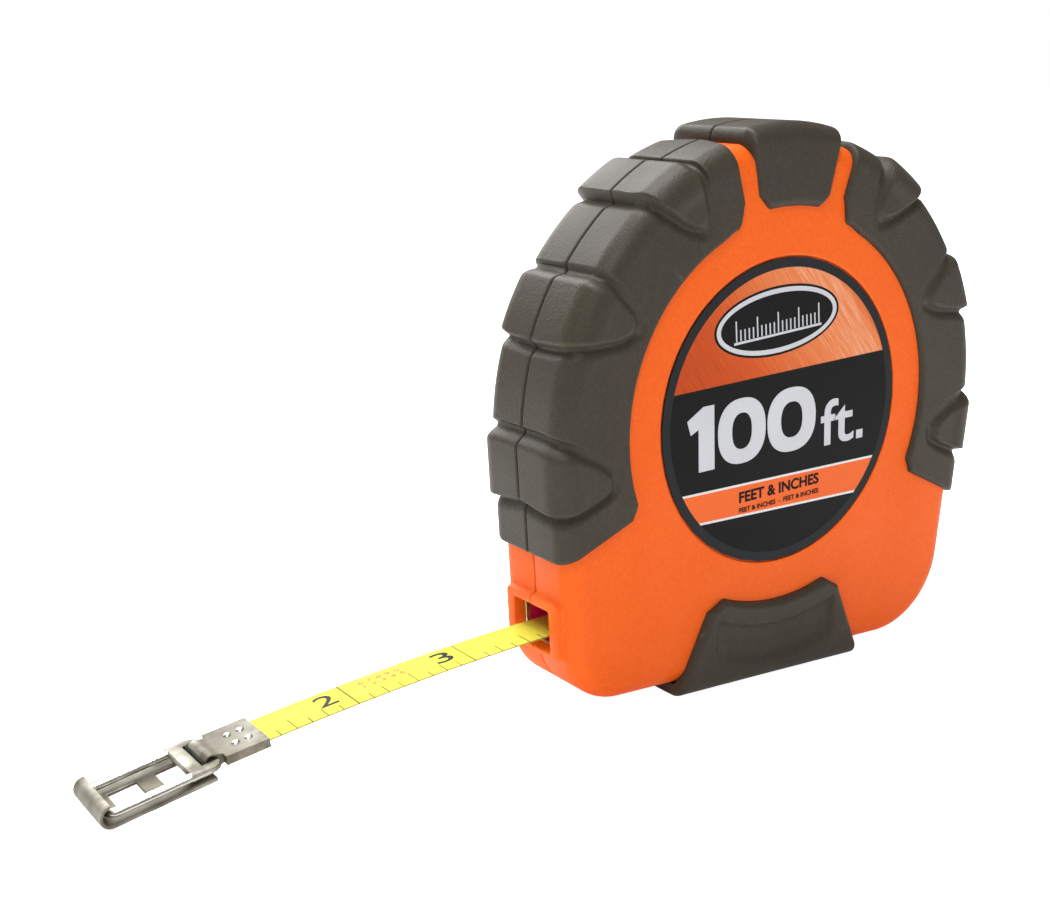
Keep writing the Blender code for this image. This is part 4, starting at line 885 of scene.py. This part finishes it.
# ---- Blade -------------------------------------------------------------------------------
# Lemon yellow enamelled steel tape, 9.525 mm wide. It leaves the mouth level and droops
# towards the hook. Inches run from the hook, with eighths ticked along the near edge.
BLADE_START, DROOP = -39.125, 0.79e-3
blade_low, blade_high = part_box("tape_blade")
BLADE_WIDTH = (blade_high.y - blade_low.y) / MM
BLADE_THICKNESS = 0.25
THREE_INCH_REACH = 70.0
INCH = 25.4


def blade_height(reach):
    return BLADE_START - DROOP * reach ** 2


def blade_strip():
    """Closed rings along the tape, square to it."""
    first, last, steps = -blade_high.x / MM, -blade_low.x / MM, 140
    rings = []
    for k in range(steps + 1):
        reach = first + (last - first) * k / steps
        slope = math.atan(2 * DROOP * reach)
        half, face = BLADE_WIDTH / 2, BLADE_THICKNESS / 2
        upper = [(-half, 0.05), (-half + 0.07, face), (0, face), (half - 0.07, face), (half, 0.05)]
        corners = upper + [(y, -n) for y, n in reversed(upper)]
        rings.append([from_axle(-reach - n * math.sin(slope), y,
                                blade_height(reach) + n * math.cos(slope)) for y, n in corners])
    return loft(rings)


def blade_material():
    """Yellow enamel with inch lines, eighths along the near edge and darker borders."""
    material, tree, shader = new_material("blade_yellow")
    times, minus = partial(maths, tree, "MULTIPLY"), partial(maths, tree, "SUBTRACT")
    place = object_place(tree)
    metres = add(tree, "SeparateXYZ", {0: place})
    reach = times(metres.outputs["X"], -1000.0)
    y = times(metres.outputs["Y"], 1000.0)

    def below(value, limit, width=0.03):
        return mapped(tree, value, limit - width, limit + width, 1.0, 0.0)

    def line_every(pitch, half_width):
        turns = maths(tree, "DIVIDE", minus(reach, THREE_INCH_REACH), pitch)
        return below(times(maths(tree, "PINGPONG", turns, 0.5), pitch), half_width)

    ink = line_every(INCH, 0.17)
    for parts, length in ((2, 4.3), (4, 3.2), (8, 2.3)):
        short = below(y, -BLADE_WIDTH / 2 + length)
        ink = maths(tree, "MAXIMUM", ink, times(line_every(INCH / parts, 0.12), short))
    border = below(minus(BLADE_WIDTH / 2, maths(tree, "ABSOLUTE", y)), 0.16, 0.06)
    fine = noise(tree, place, 900.0, 3.0)
    broad = noise(tree, place, 120.0, 3.0)
    shown = blend_colours(tree, fine, srgb(214, 208, 58), srgb(224, 220, 84))
    faded = mapped(tree, broad, 0.4, 0.7, 0.9, 0.62)
    shown = blend_colours(tree, times(ink, faded), shown, srgb(52, 48, 26))
    shown = blend_colours(tree, times(border, 0.65), shown, srgb(120, 112, 44))
    wire(tree, shader, {
        "Base Color": shown, "Specular IOR Level": 0.15,
        "Roughness": mapped(tree, broad, to_low=0.5, to_high=0.66),
        "Normal": bumped(tree, maths(tree, "ADD", fine, ink), 0.3, 0.00002)})
    return material


blade = piece("blade_strip", *blade_strip(), blade_material(), "blade", "blade_yellow")
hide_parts("tape_blade")


def on_blade(reach, y):
    """A spot on the upper face of the tape; print runs back towards the case."""
    def place(u, v, lift):
        spot = reach - u
        return from_axle(-spot, y + v, blade_height(spot) + BLADE_THICKNESS / 2 + 0.012 + lift * 0.5)
    return place


for inches, reach in (("3", THREE_INCH_REACH), ("2", THREE_INCH_REACH + INCH)):
    lettering(f"inch_figure_{inches}", inches, on_blade(reach + 6.2, -1.4), 3.9, 4.6, black_print,
              0.004, "blade", "blade_yellow")
for row, (digits, start, y) in enumerate((("6 7 8 9 0", 22.0, 1.9), ("1 2 3 4 5", 21.6, 0.1))):
    lettering(f"unit_row_{row + 1}", digits, on_blade(THREE_INCH_REACH + start, y), 9.0, 1.15,
              red_print, 0.01, "blade", "blade_yellow")

# ---- Ferrule, end ring and hook plate ----------------------------------------------------
# Nickel plated steel: a folded ferrule pressed on the tape with four dimples, a cast ring
# that swings on it, and a hook plate wrapped round the ring's outer bar.
nickel = plain_finish(
    "hook_nickel", (206, 202, 190), (164, 160, 148), (420.0, 0.7), (0.16, 0.34), (1500.0, 0.06),
    metallic=1.0, wear=((240, 238, 230), 0.9))
ferrule_steel = plain_finish(
    "ferrule_steel", (112, 106, 90), (84, 79, 66), (420.0, 0.7), (0.42, 0.6), (1500.0, 0.08),
    metallic=0.45, wear=((206, 202, 188), 0.7))


def eased(node, width, material, body, slot):
    """A finer copy of a CAD piece, with its sharp edges rounded, which is shown in its place."""
    mesh = frame["nodes"][node].data.copy()
    made = linked(node + "_eased", mesh)
    work = bmesh.new()
    work.from_mesh(mesh)
    bmesh.ops.remove_doubles(work, verts=work.verts, dist=1e-6)
    bmesh.ops.dissolve_limit(work, angle_limit=math.radians(1.5), verts=work.verts, edges=work.edges)
    work.to_mesh(mesh)
    work.free()
    step = made.modifiers.new("round", "BEVEL")
    step.width, step.segments, step.limit_method = width * MM, 3, "ANGLE"
    step.angle_limit, step.use_clamp_overlap = math.radians(35), True
    made.data = evaluated_mesh(made)
    made.modifiers.clear()
    finished(made, material, body, slot, 40)
    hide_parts(node)


eased("end_ferrule", 0.18, ferrule_steel, "blade", "hook_nickel")
FERRULE_START = -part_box("end_ferrule")[1].x / MM
ferrule_face = max((p.co.z / MM - AXLE_HEIGHT) - blade_height(-p.co.x / MM)
                   for p in frame["nodes"]["end_ferrule"].data.vertices
                   if -p.co.x / MM < FERRULE_START + 1)


def dimple(name, reach, y):
    """A small bright dome pressed up out of the ferrule."""
    slope = math.atan(2 * DROOP * reach)
    rings = []
    for radius, lift in ((0.85, -0.1), (0.85, 0.02), (0.74, 0.16), (0.5, 0.28), (0.2, 0.34)):
        spots = []
        for k in range(20):
            a = 2 * math.pi * k / 20
            spot = reach + radius * math.cos(a) * math.cos(slope)
            height = blade_height(reach) - radius * math.cos(a) * math.sin(slope) + ferrule_face + lift
            spots.append(from_axle(-spot + lift * math.sin(slope), y + radius * math.sin(a), height))
        rings.append(spots)
    return piece(name, *loft(rings), nickel, "blade", "hook_nickel")


for number, (out, y) in enumerate(((2.9, -1.9), (2.9, 1.9), (5.4, -1.9), (5.4, 1.9))):
    dimple(f"ferrule_dimple_{number + 1}", FERRULE_START + out, y)
eased("end_ring", 0.35, nickel, "ring", "hook_nickel")
eased("hook_plate", 0.18, ferrule_steel, "hook", "hook_nickel")
ring_joint = next(j for j in frame["joints"] if j["name"] == "ring_pivot")
RING_PITCH = math.radians(11.98)
SHOULDER_BACK, SHOULDER_FRONT, SHOULDER_HALF_WIDTH = -1.3, 5.0, 6.8
EYE_ROOM = 1.9
eye_half_width = max(abs(p.co.y) for p in frame["nodes"]["end_ferrule"].data.vertices
                     if -p.co.x > -ring_joint["pos_m"][0] - 0.5 * MM) / MM


def on_ring(u, y, n):
    """A point out from the ring's hinge, across, and square to the ring."""
    pivot = Vector(ring_joint["pos_m"])
    out = Vector((-math.cos(RING_PITCH), 0, -math.sin(RING_PITCH)))
    up = Vector((-math.sin(RING_PITCH), 0, math.cos(RING_PITCH)))
    return pivot + (out * u + Vector((0, y, 0)) + up * n) * MM


def shoulder_ring(n, inset):
    """The flat cheek at the ring's inner end, with round shoulders, notched for the eye."""
    wide, low, high = SHOULDER_HALF_WIDTH - inset, SHOULDER_BACK + inset, SHOULDER_FRONT - inset
    notch, room, corner = eye_half_width + 0.35 + inset, EYE_ROOM + inset, 2.4
    outline = [(wide, high), (-wide, high)] + arc((corner - wide, low + corner), corner, 180, 270, 8)
    outline += [(-notch, low), (-notch, room), (notch, room), (notch, low)]
    outline += arc((wide - corner, low + corner), corner, -90, 0, 8)
    return [on_ring(u, y, n) for y, u in outline]


piece("ring_shoulder", *loft([shoulder_ring(n, inset) for n, inset in
                              ((-0.6, 0.35), (-0.42, 0.1), (-0.25, 0), (0.3, 0), (0.55, 0.1),
                               (0.72, 0.35))]), ferrule_steel, "ring", "hook_nickel")

# ---- Crank -------------------------------------------------------------------------------
# On the far side a black nylon disc turns in the raised ring and carries the folding crank:
# a plated steel arm with a turned knob, which tucks into a cup in the disc.
crank_black = plain_finish(
    "crank_nylon", (44, 44, 45), (36, 36, 37), (2200.0, 0.4), (0.42, 0.58), (2400.0, 0.16),
    wear=((86, 86, 86), 0.6))
bright_steel = plain_finish(
    "plated_steel", (196, 196, 194), (176, 176, 175), (1500.0, 0.5), (0.2, 0.36), (1700.0, 0.05),
    metallic=1.0, wear=((244, 244, 240), 0.8))
eased("crank_hub", 0.3, crank_black, "crank", "crank_plastic")
eased("crank_arm", 0.3, bright_steel, "crank_handle", "steel")
eased("crank_knob", 0.4, crank_black, "knob", "crank_plastic")
DISC_TOP = 16.5
RIB_HALF_WIDTH, RIB_HEIGHT, RIB_CHAMFER, RIB_ROOT = 0.4, 0.22, 0.15, 0.2


def disc_rib(name, radius):
    """A low moulded rib round the disc, under the sweep of the arm."""
    inside, outside = radius - RIB_HALF_WIDTH, radius + RIB_HALF_WIDTH
    foot, middle, top = DISC_TOP - RIB_ROOT, DISC_TOP + RIB_HEIGHT * 0.5, DISC_TOP + RIB_HEIGHT
    rings = [[from_axle(r * math.cos(2 * math.pi * k / 120), y, r * math.sin(2 * math.pi * k / 120))
              for k in range(120)]
             for r, y in ((inside, foot), (outside, foot), (outside, middle),
                          (outside - RIB_CHAMFER, top), (inside + RIB_CHAMFER, top), (inside, middle))]
    return piece(name, *loft(rings, True), crank_black, "crank", "crank_plastic")


for number, radius in enumerate((32.2, 30.6)):
    disc_rib(f"disc_rib_{number + 1}", radius)
for node in ("knob_pin", "crank_hinge_pin", "crank_washer", "crank_retaining_screw", "drum_wave_washer"):
    frame["nodes"][node].material_slots[0].material = bright_steel

# ---- Case screws -------------------------------------------------------------------------
# Five blackened pan head screws hold the two shells together. Each sits in a round well, and
# a flat dark cross of painted shadow stands for its driver recess, turned to where it stopped.
screw_steel = plain_finish(
    "blackened_steel", (74, 74, 76), (50, 50, 52), (700.0, 0.5), (0.3, 0.5), (1700.0, 0.06),
    metallic=1.0, wear=((200, 198, 194), 0.9))
# painted shadow: the near black of the driver's recess, put on a flat plate
recess_shadow = plain_finish(
    "driver_recess_painted_shadow", (16, 16, 17), (26, 26, 27), (2500.0, 0.5), (0.7, 0.85), (2600.0, 0.05))
cross = [(0.3, 0.3), (0.3, 1.35), (-0.3, 1.35), (-0.3, 0.3), (-1.35, 0.3), (-1.35, -0.3), (-0.3, -0.3),
         (-0.3, -1.35), (0.3, -1.35), (0.3, -0.3), (1.35, -0.3), (1.35, 0.3)]
for number, (x, z) in enumerate(screw_places):
    frame["nodes"][f"case_screw_{number + 1}"].material_slots[0].material = screw_steel

    def on_head(u, v, lift, x=x, z=z, turn=math.radians(20 + 37 * number)):
        return from_axle(x + u * math.cos(turn) - v * math.sin(turn), SCREW_HEAD_TOP - 0.03 + lift,
                         z + u * math.sin(turn) + v * math.cos(turn))
    # a flat dark plate of painted shadow, where the cross recess for the driver would be
    plate(f"painted_cross_shadow_{number + 1}", [(0, 1, 2, 3), (3, 4, 5, 6), (6, 7, 8, 9), (9, 10, 11, 0),
                                         (0, 3, 6, 9)], cross, on_head, recess_shadow, "case", "steel")

# ---- Drum, gears and axle ----------------------------------------------------------------
# Inside the case: the wound tape between two moulded flanges on a nylon hub, the fixed ring
# gear, the sun gear on the drum and three planets on the crank's carrier, and a steel axle.
drum_nylon = plain_finish(
    "drum_nylon", (58, 60, 62), (42, 44, 46), (900.0, 0.5), (0.4, 0.55), (2200.0, 0.12))
gear_nylon = plain_finish(
    "gear_nylon", (232, 226, 208), (214, 206, 186), (900.0, 0.5), (0.36, 0.5), (2200.0, 0.08))
sintered_bronze = plain_finish(
    "sintered_bronze", (168, 118, 62), (120, 80, 40), (2200.0, 0.9), (0.35, 0.5), (2600.0, 0.2),
    metallic=1.0)


def wound_tape_material():
    """The edges of the tape's turns: fine yellow and dark rings about the axle."""
    material, tree, shader = new_material("wound_tape")
    metres = add(tree, "SeparateXYZ", {0: object_place(tree)})
    up = maths(tree, "SUBTRACT", metres.outputs["Z"], AXLE_HEIGHT * MM)
    out = maths(tree, "SQRT", maths(tree, "ADD", maths(tree, "MULTIPLY", up, up),
                maths(tree, "MULTIPLY", metres.outputs["X"], metres.outputs["X"])))
    turns = maths(tree, "PINGPONG", maths(tree, "DIVIDE", out, 0.5 * MM), 0.5)
    gap = mapped(tree, turns, 0.1, 0.3)
    wire(tree, shader, {
        "Base Color": blend_colours(tree, gap, srgb(60, 56, 24), srgb(226, 216, 70)),
        "Normal": bumped(tree, gap, 0.5, 0.0001),
        "Roughness": mapped(tree, gap, to_low=0.7, to_high=0.4)})
    return material


inner_finishes = (
    (drum_nylon, ("drum_hub", "drum_flange_label_side", "drum_flange_crank_side")),
    (gear_nylon, ("ring_gear", "sun_gear", "planet_gear_1", "planet_gear_2", "planet_gear_3",
                  "planet_carrier")),
    (sintered_bronze, ("drum_bush",)),
    (bright_steel, ("drum_axle", "tape_tail_pin", "planet_pin_1", "planet_pin_2", "planet_pin_3")),
    (wound_tape_material(), ("tape_coil",)))
for material, nodes in inner_finishes:
    for node in nodes:
        for filled in frame["nodes"][node].material_slots:
            filled.material = material

# ---- Floor, light and camera -------------------------------------------------------------
# The reel stands on a plain white floor under soft lights from the upper left, above and
# behind, with a weak fill, and is seen from in front of its label and a little above.
def floor_plane():
    """A wide flat floor, finer near the object."""
    rings = [[Vector((r * math.cos(a / 24 * math.pi), r * math.sin(a / 24 * math.pi), 0))
              for a in range(48)] for r in (0.05, 0.5, 2.0, 8.0, 40.0)]
    points = [p for ring in rings for p in ring]
    faces = [tuple(range(48))]
    for k in range(len(rings) - 1):
        faces += [(k * 48 + i, k * 48 + 48 + i, k * 48 + 48 + (i + 1) % 48, k * 48 + (i + 1) % 48)
                  for i in range(48)]
    mesh = bpy.data.meshes.new("floor")
    mesh.from_pydata([tuple(p) for p in points], [], faces)
    return linked("floor", mesh)


def paper_material():
    """White paper, lit a little from within, and more where the camera sees it directly."""
    material, tree, shader = new_material("floor_paper")
    place = object_place(tree)
    tone = noise(tree, place, 3.0, 2.0)
    seen = add(tree, "LightPath").outputs["Is Camera Ray"]
    wire(tree, shader, {
        "Base Color": blend_colours(tree, tone, srgb(247, 247, 247), srgb(252, 252, 252)),
        "Roughness": 0.85, "Specular IOR Level": 0.1, "Emission Color": (1.0, 1.0, 1.0, 1.0),
        "Emission Strength": maths(tree, "ADD", 0.15, maths(tree, "MULTIPLY", seen, 0.8))})
    return material


floor = floor_plane()
floor.data.materials.append(paper_material())


def soft_light(name, place, target, size, watts):
    """A round area light that faces a point."""
    data = bpy.data.lights.new(name, "AREA")
    data.shape, data.size, data.energy = "DISK", size, watts
    lamp = linked(name, data)
    lamp.location = place
    lamp.rotation_euler = (Vector(target) - Vector(place)).to_track_quat("-Z", "Y").to_euler()


middle = (cad_box[0] + cad_box[1]) / 2
soft_light("key_light", (-0.6, -0.5, 1.0), middle, 0.35, 4.6)
soft_light("fill_light", (0.5, -1.1, 0.45), middle, 0.9, 0.9)
soft_light("top_light", (-0.15, 0.2, 1.2), middle, 0.5, 12.0)
soft_light("back_light", (0.0, 1.1, 0.8), middle, 1.1, 15.0)
world = bpy.data.worlds.new("studio")
world.use_nodes = True
sky_tree = world.node_tree
ambient = sky_tree.nodes["Background"]
wire(sky_tree, ambient, {0: (1.0, 1.0, 1.0, 1.0), 1: 0.33})
backdrop = add(sky_tree, "Background", {0: (1.0, 1.0, 1.0, 1.0), 1: 1.0})
chosen = add(sky_tree, "MixShader", {0: add(sky_tree, "LightPath").outputs["Is Camera Ray"],
                                     1: ambient.outputs[0], 2: backdrop.outputs[0]})
sky_tree.links.new(chosen.outputs[0], sky_tree.nodes["World Output"].inputs[0])
bpy.context.scene.world = world
bpy.context.scene.view_settings.view_transform = "Standard"

camera_data = bpy.data.cameras.new("main_camera")
camera_data.lens, camera_data.sensor_width = 53.874, 36.0
camera_data.shift_x, camera_data.shift_y = 0.01163, 0.01467
camera_data.clip_start, camera_data.clip_end = 0.01, 20.0
camera = linked("main_camera", camera_data)
right = Vector((0.83385093, -0.55185969, 0.01197974))
upward = Vector((0.1269037, 0.21278057, 0.96882397))
backward = right.cross(upward)
camera.matrix_world = Matrix.Translation(from_axle(-222.603, -245.902, 67.446)) @ Matrix(
    (right, upward, backward)).transposed().to_4x4()
bpy.context.scene.camera = camera
